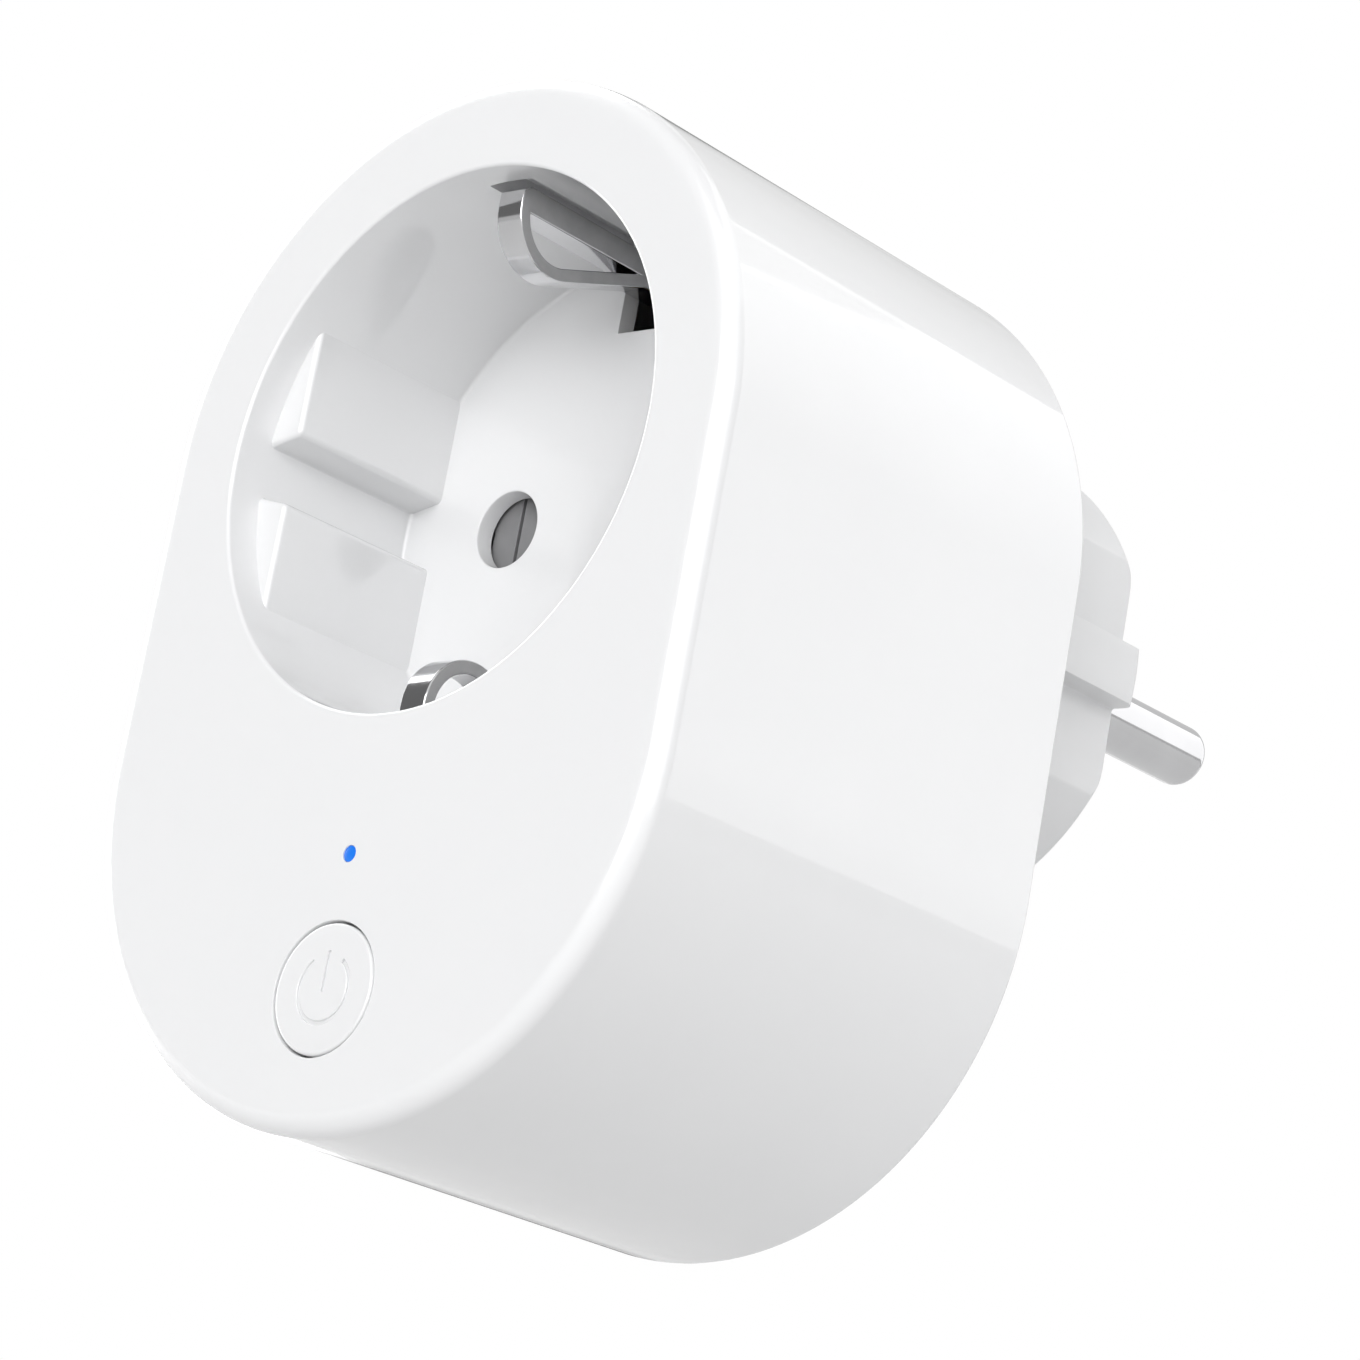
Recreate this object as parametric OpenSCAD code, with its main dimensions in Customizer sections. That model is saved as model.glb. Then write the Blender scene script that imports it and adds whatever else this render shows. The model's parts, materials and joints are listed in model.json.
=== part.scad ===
// Smart plug: a mains adapter with a recessed socket in front, a plug island with two
// round pins behind, and a switched, metered and radio-controlled supply between them.
// Frame: origin at the middle of the plug island's end face, between the two pins.
// +Y runs into the wall along the pins, +Z is up and +X is to the right from the front.

/* [Housing] */
// Width of the housing across its straight sides
body_w = 53.2; // [52:0.2:64]
// Distance from the socket axis down to the centre of the lower arc
centre_drop = 22.4; // [20:0.2:32]
// Depth of the housing from the front face to the rear face
body_d = 39.1; // [38:0.1:48]
// Thickness of the housing's face and side walls
wall = 2; // [1.6:0.1:2.5]
// Radius of the round on the front edge
front_round = 1.5; // [0.6:0.1:1.9]
// Radius of the round on the rear edge
rear_round = 0.5; // [0.2:0.1:1]
// Thickness of the rear cover's plate
cover_t = 2; // [1.6:0.1:2.6]
// Gap between the rear cover and the housing all round
cover_gap = 0.1; // [0.05:0.05:0.3]

/* [Socket recess] */
// Radius of the round socket recess
recess_r = 19.9; // [19.5:0.1:20.2]
// Depth of the recess from the front face to its floor
recess_d = 17.5; // [16:0.1:18.5]
// Thickness of the recess wall
cup_wall = 1.6; // [1.2:0.1:2]
// Thickness of the recess floor
floor_t = 1.5; // [1.2:0.1:2.5]
// Radius of the round on the recess rim
rim_round = 0.5; // [0.2:0.1:0.8]
// Distance from the axis to each side flat
flat_x = 16.9; // [16.5:0.1:17.4]
// Depth at which the side flats start
flat_top = 2.8; // [2:0.1:4]
// Distance from the axis to the bottom of each guide groove
groove_x = 20; // [19:0.1:20.2]
// Width of each guide groove at its mouth
groove_mouth = 5.2; // [4.6:0.1:6]
// Width of each guide groove at its bottom
groove_foot = 3.8; // [3:0.1:4.6]
// Distance between the two pin axes
pin_pitch = 19; // [18.6:0.1:19.4]
// Radius of the entry holes in the recess floor
entry_r = 2.9; // [2.7:0.05:3.1]

/* [Plug] */
// Radius of the plug island
island_r = 18.85; // [18.2:0.05:19.2]
// Length of the plug island
island_h = 18.2; // [16.5:0.1:19]
// Distance from the axis to each side flat of the island
island_flat_x = 16.55; // [16:0.05:17]
// Distance from the axis to the outside of each side ridge
ridge_x = 18.8; // [18:0.05:19]
// Width of each side ridge
ridge_w = 4.4; // [3.6:0.1:5]
// Radius of the plug pins
pin_r = 2.4; // [2:0.05:2.4]
// Length of the plug pins beyond the island
pin_len = 19; // [18:0.1:20]
// Distance from the axis to the floor of each earth notch
notch_y = 14.6; // [14.4:0.1:15.4]
// Width of each earth notch
notch_w = 7; // [6:0.1:8]

/* [Earth clips] */
// Width of the clip strip
clip_w = 2.4; // [2:0.1:3]
// Thickness of the sprung loop
clip_t = 1; // [0.6:0.05:1.2]
// Outer radius of the bend at the front of the loop
clip_bend_r = 4.15; // [3.8:0.05:4.4]
// Depth of the bend's centre
clip_bend_d = 7.05; // [6.6:0.05:7.6]
// Distance from the socket axis to the bend's centre
clip_bend_y = 18.3; // [18:0.05:18.5]
// Slope of the loop's inner run in degrees
clip_slope = 19; // [17:0.5:20]
// Height of the clip's back bar
clip_bar_h = 1.9; // [1.4:0.1:2]
// Outward flex of each clip in degrees
clip_flex = 6; // [3:0.5:7]
// Thickness of the sheet brass and copper
sheet_t = 0.8; // [0.5:0.05:1]

/* [Button and light] */
// Distance from the socket axis down to the button's centre
button_y = 39.1; // [38:0.1:40]
// Radius of the button cap
button_r = 4.55; // [4:0.05:5]
// Gap round the button cap
button_gap = 0.15; // [0.1:0.05:0.3]
// Travel of the button
button_travel = 0.4; // [0.2:0.05:0.5]
// Distance from the socket axis down to the status light
light_y = 29.8; // [28.6:0.1:31]
// Radius of the light pipe
light_r = 0.55; // [0.4:0.05:0.9]

/* [Shutter] */
// Travel of the shutter
shutter_travel = 6; // [5.9:0.05:6.2]
// Thickness of the shutter
shutter_t = 1.6; // [1:0.1:1.8]
// Clearance above and below the shutter
shutter_gap = 0.3; // [0.15:0.05:0.4]
// Length of the ramp on each shutter blade
shutter_ramp = 3.3; // [1.5:0.1:4]

/* [Boards] */
// Depth of the main board's front face
board_z = 30; // [28.5:0.1:30.5]
// Thickness of the main board
board_t = 1.6; // [1:0.1:1.6]
// Distance from the socket axis down to the main board's top edge
board_y = 7; // [6.6:0.1:8]
// Thickness of the control board
control_t = 1.2; // [0.8:0.1:1.6]
// Gap between the boards and the housing wall
board_gap = 1.1; // [0.6:0.1:1.6]

/* [Relay] */
// Length of the relay
relay_l = 29; // [27:0.5:30]
// Width of the relay
relay_w = 12.7; // [12:0.1:12.9]
// Height of the relay above the board
relay_h = 15.7; // [14:0.1:16]
// Swing of the armature in degrees
relay_throw = 2.8; // [2:0.1:3.2]

/* [Hidden] */
$fn = 96;

// Small overlap that keeps cuts from ending on a face
over = 1;
front_y = -(body_d + island_h);
body_r = body_w / 2;
inner_r = body_r - wall;
cover_z = body_d - cover_t;
floor_z = recess_d + floor_t;
cup_r = recess_r + cup_wall;
pin_x = pin_pitch / 2;
island_end = body_d + island_h;
mate_pin_r = 2.4;

// Screws that hold the rear cover
screw_r = 1.3;
screw_head_r = 2.4;
screw_head_t = 1.2;
screw_len = 10;
boss_r = 2.6;
screw_bore_r = screw_r - 0.15;
upper_boss = [15.5, -14.5];
lower_boss = [19.5, 30];

// Earth clips: the tail passes through the floor slot and turns about its rear end
slot_half_w = 1.95;
slot_near = 14.4;
slot_far = 18.9;
slot_head_half_w = 4.6;
slot_head_near = 18.35;
clip_bar_top = recess_r - 0.15;
clip_bar_front = 3.2;
clip_bar_back = 15.6;
clip_tail_back = floor_z + 1.4;
clip_tail_near = 17.1;
arc_steps = 20;
clip_pivot = [floor_z + 0.2, 17.8];
clip_groove_gap = 0.9;
clip_groove_deep = recess_r + 1.8;
clip_boss_half_w = clip_w / 2 + clip_groove_gap + 1.4;
clip_boss_deep = clip_groove_deep + 0.9;

// Button, switch and control board stack up behind the face
button_hole_r = button_r + button_gap;
button_flange_r = button_r + 1;
button_flange_z = wall + 0.1;
button_flange_t = 0.9;
button_stem_r = 1.3;
switch_side = 6.2;
switch_h = 2.8;
plunger_r = 1.7;
plunger_gap = 0.1;
plunger_rise = 0.55;
plunger_sunk = 0.9;
plunger_z = button_flange_z + button_flange_t + 0.65;
switch_z = plunger_z + plunger_rise;
control_z = switch_z + switch_h;
control_back = control_z + control_t;
control_top = 24.6;
control_half_w = 15.4;

// Shutter and carrier stack up behind the recess floor
shutter_z = floor_z + shutter_gap;
shutter_half_w = entry_r + 0.1;
shutter_half_h = entry_r + 0.6;
link_near = entry_r + 0.8;
link_far = link_near + 1.8;
carrier_z = shutter_z + shutter_t + shutter_gap;
carrier_t = 1.4;
carrier_half_w = 20;
carrier_half_h = 8.4;
carrier_hole_r = mate_pin_r + 0.9;
carrier_rail = 1.2;
spring_r = 0.9;
spring_wire_r = 0.2;
spring_turns = 7;
carrier_post = 1;

// Contact forks grip the mating pin from both sides
fork_gap = mate_pin_r + 0.05;
fork_half_h = 3.2;
fork_z = carrier_z + carrier_t + 0.1;
fork_len = 8.6;
fork_web_y = fork_half_h;

// Board outline and the slot that the lower earth leg passes through
board_r = inner_r - board_gap;
board_back = board_z + board_t;
leg_half_w = 2.5;
leg_y = notch_y + sheet_t;
strap_z = carrier_z + carrier_t + 0.2;
strap_end_y = 18.8;
link_y = board_y + 1.4;
link_x = 6.2;
link_w = 3.6;
pin_shank_r = 1.9;
pin_collar_r = 3;
pin_collar_t = 1;
pin_tip_round = 1.15;
pin_seat = 0.3;
pin_pocket_r = pin_r + 0.9;
end_wall = 2;
cavity_r = 13.8;
pin_root_z = island_end - end_wall - pin_collar_t;

// Relay parts inside the case
relay_y = clip_boss_deep + 0.4;
relay_front = board_z - relay_h;
relay_base_t = 1.8;
relay_wall = 1;
relay_mid_y = relay_y + relay_w / 2;
armature_t = 0.8;
armature_z = relay_front + relay_wall + 0.3;
armature_back = armature_z + armature_t;
pole_gap = 0.5;
pole_z = armature_back + pole_gap;
pole_r = 3;
pole_t = 0.8;
coil_x = 5.4;
coil_r = 4.9;
core_r = 1.8;
coil_z = pole_z + pole_t + 0.1;
relay_base_z = board_z - relay_base_t;
yoke_t = 1.2;
yoke_x = coil_x + coil_r + 0.5;
leaf_t = 0.3;
leaf_back = armature_back + leaf_t;
rivet_x = -8.6;
rivet_r = 1.2;
rivet_t = 0.5;
hinge_x = yoke_x + yoke_t / 2;
contact_gap = (hinge_x - rivet_x) * sin(relay_throw) + 0.08;
fixed_z = leaf_back + rivet_t + contact_gap + rivet_t;

header_y = relay_y + relay_w + 1.1;
header_x = [-14, -12, -10, -8];
header_pin_w = 0.64;

// Stands a piece that is drawn with x right, y down and z into the depth on its place
module stand() {
  translate([0, front_y, 0]) rotate([-90, 0, 0]) children();
}

// Half outline of a turned or swept body with rounded front and rear edges
module edge_profile(r, depth, front_r, back_r) {
  translate([0, front_r]) square([r, depth - front_r - back_r]);
  if (front_r > 0) {
    square([r - front_r, front_r + 0.01]);
    translate([r - front_r, front_r]) circle(front_r);
  }
  if (back_r > 0) {
    translate([0, depth - back_r - 0.01]) square([r - back_r, back_r + 0.01]);
    translate([r - back_r, depth - back_r]) circle(back_r);
  }
}

// Sweeps a half outline round the racetrack shape of the housing
module racetrack() {
  rotate([0, 0, 180]) rotate_extrude(angle = 180) children();
  translate([0, centre_drop, 0]) rotate_extrude(angle = 180) children();
  for (side = [0, 1]) mirror([side, 0, 0])
    translate([0, centre_drop, 0]) rotate([90, 0, 0]) linear_extrude(centre_drop) children();
}

// Plain racetrack plate of radius r between two depths
module racetrack_plate(r, z0, z1) {
  translate([0, 0, z0]) racetrack() square([r, z1 - z0]);
}

// Box given by its lowest and highest corners
module span(low, high) {
  translate(low) cube([high[0] - low[0], high[1] - low[1], high[2] - low[2]]);
}

// Repeats a piece at the four screw places
module at_screws() {
  for (side = [-1, 1])
    for (place = [upper_boss, lower_boss])
      translate([side * place[0], place[1], 0]) children();
}

// Side flats with their tapered guide grooves, inside the recess
module recess_flats() {
  intersection() {
    translate([0, 0, flat_top]) cylinder(r = recess_r + 0.2, h = recess_d - flat_top + 0.1);
    for (side = [0, 1]) mirror([side, 0, 0]) difference() {
      span([flat_x, -recess_r, flat_top], [recess_r + over, recess_r, recess_d + 0.1]);
      translate([0, 0, flat_top - over]) linear_extrude(recess_d + over * 2) polygon([
        [flat_x - 0.01, -groove_mouth / 2], [groove_x, -groove_foot / 2],
        [groove_x, groove_foot / 2], [flat_x - 0.01, groove_mouth / 2]
      ]);
    }
  }
}

// T-shaped slot in the recess floor and the relief groove in the wall, for one clip
module clip_cuts() {
  span([-slot_half_w, slot_near, recess_d - 0.2], [slot_half_w, slot_far, floor_z + over]);
  span([-slot_head_half_w, slot_head_near, recess_d - 0.2], [slot_head_half_w, slot_far, floor_z + over]);
  groove = clip_w / 2 + clip_groove_gap;
  span([-groove, recess_r - 2, clip_bar_front - 0.6], [groove, clip_groove_deep, recess_d + 0.01]);
}

// One-piece housing: face, side wall and socket recess
module front_shell() {
  color([0.95, 0.95, 0.955]) stand() difference() {
    union() {
      difference() {
        racetrack() edge_profile(body_r, body_d, front_round, rear_round);
        racetrack_plate(inner_r, wall, body_d + over);
      }
      translate([0, 0, wall - 0.1]) cylinder(r = cup_r, h = floor_z - wall + 0.1);
      for (side = [-1, 1])
        span([-clip_boss_half_w, side > 0 ? 0 : -clip_boss_deep, wall - 0.1],
          [clip_boss_half_w, side > 0 ? clip_boss_deep : 0, floor_z]);
      for (side = [-1, 1]) {
        translate([side * upper_boss[0], upper_boss[1], floor_z - 0.1])
          cylinder(r = boss_r, h = cover_z - floor_z + 0.1);
        translate([side * lower_boss[0], lower_boss[1], wall - 0.1])
          cylinder(r = boss_r, h = cover_z - wall + 0.1);
      }
    }
    difference() {
      translate([0, 0, -over]) cylinder(r = recess_r, h = recess_d + over);
      recess_flats();
    }
    rotate_extrude() difference() {
      translate([recess_r - 0.5, -over]) square([rim_round + 0.5, rim_round + over]);
      translate([recess_r + rim_round, rim_round]) circle(rim_round);
    }
    for (side = [-1, 1]) {
      translate([side * pin_x, 0, recess_d - over]) cylinder(r = entry_r, h = floor_t + over * 2);
    }
    for (side = [0, 1]) mirror([0, side, 0]) clip_cuts();
    translate([0, button_y, -over]) cylinder(r = button_hole_r, h = wall + over * 2);
    translate([0, light_y, -over]) cylinder(r = light_r + 0.05, h = wall + over * 2);
    at_screws() translate([0, 0, cover_z - screw_len]) cylinder(r = screw_bore_r, h = screw_len + over);
  }
}

// Rear plate with the hollow plug island
module rear_cover() {
  color([0.93, 0.93, 0.935]) stand() difference() {
    union() {
      racetrack_plate(inner_r - cover_gap, cover_z, body_d);
      intersection() {
        translate([0, 0, body_d - 0.1]) rotate_extrude()
          edge_profile(island_r, island_h + 0.1, 0, 1);
        union() {
          span([-island_flat_x, -island_r, 0], [island_flat_x, island_r, island_end + over]);
          span([-ridge_x, -ridge_w / 2, 0], [ridge_x, ridge_w / 2, island_end + over]);
        }
      }
    }
    translate([0, 0, cover_z - over]) cylinder(r = cavity_r, h = island_end - end_wall - cover_z + over);
    for (side = [-1, 1]) {
      translate([side * pin_x, 0, island_end - end_wall - over])
        cylinder(r = pin_shank_r + 0.03, h = end_wall + over * 2);
      translate([side * pin_x, 0, island_end - pin_seat]) cylinder(r = pin_pocket_r, h = pin_seat + over);
    }
    for (side = [0, 1]) mirror([0, side, 0]) {
      span([-notch_w / 2, notch_y, body_d], [notch_w / 2, island_r + over, island_end + over]);
      span([-leg_half_w - 0.1, notch_y, cover_z - over],
        [leg_half_w + 0.1, notch_y + sheet_t + 0.05, body_d + over]);
    }
    at_screws() {
      translate([0, 0, cover_z - over]) cylinder(r = screw_r + 0.2, h = cover_t + over * 2);
      translate([0, 0, body_d - screw_head_t]) cylinder(r = screw_head_r + 0.2, h = screw_head_t + over);
    }
  }
}

// Four screws that hold the rear cover on
module housing_screws() {
  color([0.62, 0.63, 0.65]) stand() at_screws() difference() {
    union() {
      translate([0, 0, body_d - screw_head_t]) cylinder(r = screw_head_r, h = screw_head_t - 0.1);
      translate([0, 0, cover_z]) cylinder(r = screw_r, h = cover_t);
      translate([0, 0, cover_z - screw_len + 1]) cylinder(r = screw_bore_r, h = screw_len);
    }
    for (turn = [0, 90]) rotate([0, 0, turn])
      span([-screw_head_r * 0.65, -0.3, body_d - 0.75], [screw_head_r * 0.65, 0.3, body_d]);
  }
}

// Push button with an engraved ring-and-stroke symbol, a retaining flange and a stem
module button_cap() {
  color([0.95, 0.95, 0.955]) stand() translate([0, button_y, 0]) difference() {
    union() {
      rotate_extrude() edge_profile(button_r, button_flange_z + button_flange_t, 0.25, 0);
      translate([0, 0, button_flange_z]) cylinder(r = button_flange_r, h = button_flange_t);
      translate([0, 0, button_flange_z]) cylinder(r = button_stem_r, h = plunger_z - button_flange_z - 0.02);
    }
    translate([0, 0, -over]) rotate([0, 0, -55]) rotate_extrude(angle = 290)
      translate([2.2, 0]) square([0.28, over + 0.18]);
    span([-0.14, -2.6, -over], [0.14, 0.2, 0.18]);
  }
}

// Clear pipe that carries the light from the control board to the face
module light_pipe() {
  color([0.1, 0.45, 0.95]) stand() translate([0, light_y, 0]) {
    cylinder(r = light_r, h = control_z - 1);
    translate([0, 0, wall]) cylinder(r = light_r + 0.7, h = 0.8);
  }
}

// Points of the clip's bend at one radius, from one angle to another
function clip_arc(r, from, to) = [for (step = [0:arc_steps])
  let (angle = from + (to - from) * step / arc_steps)
  [clip_bend_d + r * cos(angle), clip_bend_y + r * sin(angle)]];

// Side view of the sprung earth clip: x is the depth, y the distance from the socket axis
module clip_outline() {
  run_angle = 270 + clip_slope;
  rise = tan(clip_slope);
  inner_r = clip_bend_r - clip_t;
  bar_near = clip_bar_top - clip_bar_h;
  outer_start = [clip_bend_d + clip_bend_r * cos(run_angle), clip_bend_y + clip_bend_r * sin(run_angle)];
  inner_start = [clip_bend_d + inner_r * cos(run_angle), clip_bend_y + inner_r * sin(run_angle)];
  hole_angle = 180 - asin((bar_near - clip_bend_y) / inner_r);
  hole_end = inner_start[0] + (bar_near - inner_start[1]) / rise;
  difference() {
    polygon(concat(clip_arc(clip_bend_r, 180, run_angle), [
      [outer_start[0] + (clip_tail_near - outer_start[1]) / rise, clip_tail_near],
      [clip_tail_back, clip_tail_near], [clip_tail_back, clip_tail_near + clip_t],
      [clip_bar_back + 0.6, clip_bar_top - 1], [clip_bar_back, clip_bar_top - 0.1],
      [clip_bar_front + 0.4, clip_bar_top], [clip_bend_d - clip_bend_r, clip_bar_top - 0.5]
    ]));
    polygon(concat(clip_arc(inner_r, hole_angle, run_angle), [[hole_end, bar_near]]));
  }
}

// Sprung earth clip, drawn below the socket axis
module earth_clip() {
  color([0.72, 0.72, 0.73]) rotate([0, -90, 0]) linear_extrude(clip_w, center = true) clip_outline();
}

module earth_clip_top() {
  stand() mirror([0, 1, 0]) earth_clip();
}

module earth_clip_bottom() {
  stand() earth_clip();
}

// Brass strap that joins both clips and reaches back to the plug's earth strips
module earth_strap() {
  color([0.8, 0.66, 0.35]) stand() {
    span([-leg_half_w, -strap_end_y, strap_z], [leg_half_w, strap_end_y, strap_z + sheet_t]);
    for (side = [0, 1]) mirror([0, side, 0]) {
      span([-1.5, strap_end_y - sheet_t, clip_tail_back + 0.4], [1.5, strap_end_y, strap_z + 0.1]);
      span([-leg_half_w, leg_y, strap_z + 0.1], [leg_half_w, leg_y + sheet_t, cover_z - 0.4]);
    }
  }
}

// Earth strip of the plug, in its notch on the island, drawn below the axis
module plug_earth() {
  color([0.75, 0.75, 0.76]) {
    span([-leg_half_w, notch_y, board_back + 1.5], [leg_half_w, notch_y + sheet_t, island_end - 1.2]);
    span([-leg_half_w, notch_y, island_end - 2], [leg_half_w, notch_y + 2, island_end - 1.2]);
  }
}

module plug_earth_top() {
  stand() mirror([0, 1, 0]) plug_earth();
}

module plug_earth_bottom() {
  stand() plug_earth();
}

// Sliding shutter: two blades with a ramp each, joined by a link above the entry holes
module shutter() {
  color([0.72, 0.72, 0.72]) stand() difference() {
    union() {
      for (side = [-1, 1]) translate([side * pin_x, 0, 0])
        span([-shutter_half_w, -link_far, shutter_z], [shutter_half_w, shutter_half_h, shutter_z + shutter_t]);
      span([-pin_x, -link_far, shutter_z], [pin_x, -link_near, shutter_z + shutter_t]);
    }
    for (side = [-1, 1]) translate([side * pin_x + shutter_half_w, -shutter_half_h + 0.3, shutter_z])
      rotate([-90, 0, 0]) linear_extrude(shutter_half_h * 2 - 0.9)
        polygon([[-shutter_ramp, 0.01], [0.01, 0.01], [0.01, -shutter_t * 0.6]]);
  }
}

// Tension spring that pulls the shutter back, wound along the X direction
module shutter_spring() {
  color([0.6, 0.6, 0.62]) stand()
    translate([-pin_x - shutter_half_w - 0.05, 0, shutter_z + shutter_t / 2]) rotate([0, -90, 0])
      linear_extrude(carrier_half_w - carrier_post - 0.1 - pin_x - shutter_half_w,
        twist = 360 * spring_turns, slices = 12 * spring_turns, $fn = 8)
        translate([spring_r - spring_wire_r, 0]) circle(spring_wire_r, $fn = 8);
}

// Insulating carrier behind the shutter, with rails that space it off the recess floor
module contact_carrier() {
  color([0.86, 0.86, 0.85]) stand() difference() {
    union() {
      span([-carrier_half_w, -carrier_half_h, carrier_z], [carrier_half_w, carrier_half_h, carrier_z + carrier_t]);
      for (side = [-1, 1])
        span([-carrier_half_w, side > 0 ? carrier_half_h - carrier_rail : -carrier_half_h, floor_z + 0.02],
          [carrier_half_w, side > 0 ? carrier_half_h : carrier_rail - carrier_half_h, carrier_z + 0.1]);
      span([-carrier_half_w, -1.5, floor_z + 0.02], [carrier_post - carrier_half_w, 1.5, carrier_z + 0.1]);
    }
    for (side = [-1, 1]) translate([side * pin_x, 0, carrier_z - over])
      cylinder(r = carrier_hole_r, h = carrier_t + over * 2);
  }
}

// Contact fork for one pin of the mating plug, with its tail to the main board
module contact_fork(side) {
  color([0.8, 0.66, 0.35]) stand() translate([side * pin_x, 0, 0]) {
    for (blade = [-1, 1])
      span([blade > 0 ? fork_gap : -fork_gap - sheet_t, -fork_half_h, fork_z],
        [blade > 0 ? fork_gap + sheet_t : -fork_gap, fork_web_y + sheet_t, fork_z + fork_len]);
    span([-fork_gap - sheet_t, fork_web_y, fork_z], [fork_gap + sheet_t, fork_web_y + sheet_t, fork_z + fork_len]);
    span([-1.2, fork_web_y, board_z - sheet_t], [1.2, board_y + 1, board_z]);
  }
}

module contact_fork_left() {
  contact_fork(-1);
}

module contact_fork_right() {
  contact_fork(1);
}

// Plug pin with its shank and collar inside the island's end wall
module plug_pin(side) {
  color([0.86, 0.86, 0.87]) stand() translate([side * pin_x, 0, 0]) {
    translate([0, 0, island_end - pin_seat]) rotate_extrude() edge_profile(pin_r, pin_len + pin_seat, 0, pin_tip_round);
    translate([0, 0, pin_root_z + 0.1]) cylinder(r = pin_shank_r, h = island_end - pin_seat - pin_root_z);
    translate([0, 0, pin_root_z]) cylinder(r = pin_collar_r, h = pin_collar_t);
  }
}

module live_pin() {
  plug_pin(1);
}

module neutral_pin() {
  plug_pin(-1);
}

// Copper link from the root of a plug pin to the main board
module pin_link(side) {
  color([0.78, 0.5, 0.32]) stand() mirror([side < 0 ? 1 : 0, 0, 0]) {
    span([link_x, -1.6, pin_root_z - sheet_t], [link_x + link_w, link_y + sheet_t, pin_root_z]);
    span([link_x, link_y, board_back], [link_x + link_w, link_y + sheet_t, pin_root_z]);
  }
}

module live_link() {
  pin_link(1);
}

module neutral_link() {
  pin_link(-1);
}

// Main power board in the lower half, with room for the screw bosses and the earth leg
module main_board() {
  color([0.1, 0.38, 0.2]) stand() difference() {
    intersection() {
      racetrack_plate(board_r, board_z, board_back);
      span([-body_w, board_y, 0], [body_w, body_w + centre_drop, body_d]);
    }
    for (side = [-1, 1]) translate([side * lower_boss[0], lower_boss[1], board_z - over])
      cylinder(r = boss_r + 0.4, h = board_t + over * 2);
    span([-leg_half_w - 0.3, notch_y - 0.3, board_z - over],
      [leg_half_w + 0.3, leg_y + sheet_t + 0.3, board_back + over]);
  }
}

// Safety capacitor across the mains
module x_capacitor() {
  color([0.9, 0.78, 0.2]) stand() span([-18.5, 10, board_z - 9], [-5.5, 15.5, board_z]);
}

// Surge absorber: a coated disc standing on the board
module varistor() {
  color([0.15, 0.3, 0.65]) stand() translate([12.5, 16.4, board_z - 4.6]) rotate([-90, 0, 0]) cylinder(r = 4.5, h = 3.6);
}

// Fusible resistor lying on the board
module fuse_resistor() {
  color([0.3, 0.6, 0.5]) stand() translate([6, 13.6, board_z - 1.9]) rotate([0, 90, 0]) {
    cylinder(r = 1.5, h = 8);
    translate([0, 0, -1]) cylinder(r = 0.35, h = 10);
  }
}

// Bridge rectifier
module rectifier() {
  color([0.12, 0.12, 0.13]) stand() span([-14, 17, board_z - 2.4], [-6, 21.6, board_z]);
}

// Tall can capacitor with a grooved neck
module can_capacitor(x, y, r, h) {
  stand() translate([x, y, board_z - h]) difference() {
    cylinder(r = r, h = h);
    translate([0, 0, h - 1.6]) rotate_extrude() translate([r, 0]) circle(0.35);
  }
}

module bulk_capacitor() {
  color([0.12, 0.12, 0.16]) can_capacitor(10.8, relay_y + relay_w + 3.6, 3.2, 14);
}

module output_capacitor() {
  color([0.12, 0.12, 0.16]) can_capacitor(-9.3, header_y + 3.6, 2.4, 11);
}

// Ferrite core of the small transformer: a square frame round the winding
module transformer_core() {
  color([0.2, 0.2, 0.21]) stand() difference() {
    span([-6.2, relay_y + relay_w + 1.4, board_z - 12.4], [6.2, relay_y + relay_w + 8, board_z - 1.4]);
    for (side = [-1, 1])
      span([side > 0 ? 1.8 : -4.8, relay_y, board_z - 10.8], [side > 0 ? 4.8 : -1.8, relay_y + relay_w + 12, board_z - 3]);
  }
}

// Winding on the middle leg of the transformer core
module transformer_winding() {
  color([0.85, 0.65, 0.15]) stand() difference() {
    span([-4.6, relay_y + relay_w + 0.4, board_z - 10.6], [4.6, relay_y + relay_w + 9, board_z - 3.2]);
    span([-1.9, relay_y + relay_w + 1.3, board_z - 12], [1.9, relay_y + relay_w + 8.1, board_z]);
  }
}

// Filter choke on a drum core
module inductor() {
  color([0.14, 0.14, 0.15]) stand() translate([-19.4, 21.4, board_z - 8]) {
    cylinder(r = 3, h = 1.2);
    cylinder(r = 2.3, h = 8);
    translate([0, 0, 6.8]) cylinder(r = 3, h = 1.2);
  }
}

// Current-sensing shunt: a flat metal bridge on two feet
module shunt_resistor() {
  color([0.6, 0.55, 0.5]) stand() difference() {
    span([12.5, 8.6, board_z - 1.4], [19.5, 11.8, board_z]);
    span([14.3, 8, board_z - 0.7], [17.7, 13, board_z + over]);
  }
}

// Metering chip on the rear of the main board
module metering_chip() {
  color([0.08, 0.08, 0.09]) stand() {
    span([-12, 20, board_back + 0.1], [-7, 24, board_back + 1.5]);
    for (row = [0:3], side = [-1, 1])
      span([side > 0 ? -7.1 : -13, 20.4 + row, board_back], [side > 0 ? -6 : -11.9, 20.8 + row, board_back + 0.5]);
  }
}

// Plastic base of the relay
module relay_base() {
  color([0.1, 0.1, 0.11]) stand()
    span([-relay_l / 2 + relay_wall + 0.05, relay_y + relay_wall + 0.05, relay_base_z],
      [relay_l / 2 - relay_wall - 0.05, relay_y + relay_w - relay_wall - 0.05, board_z - 0.1]);
}

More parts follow.
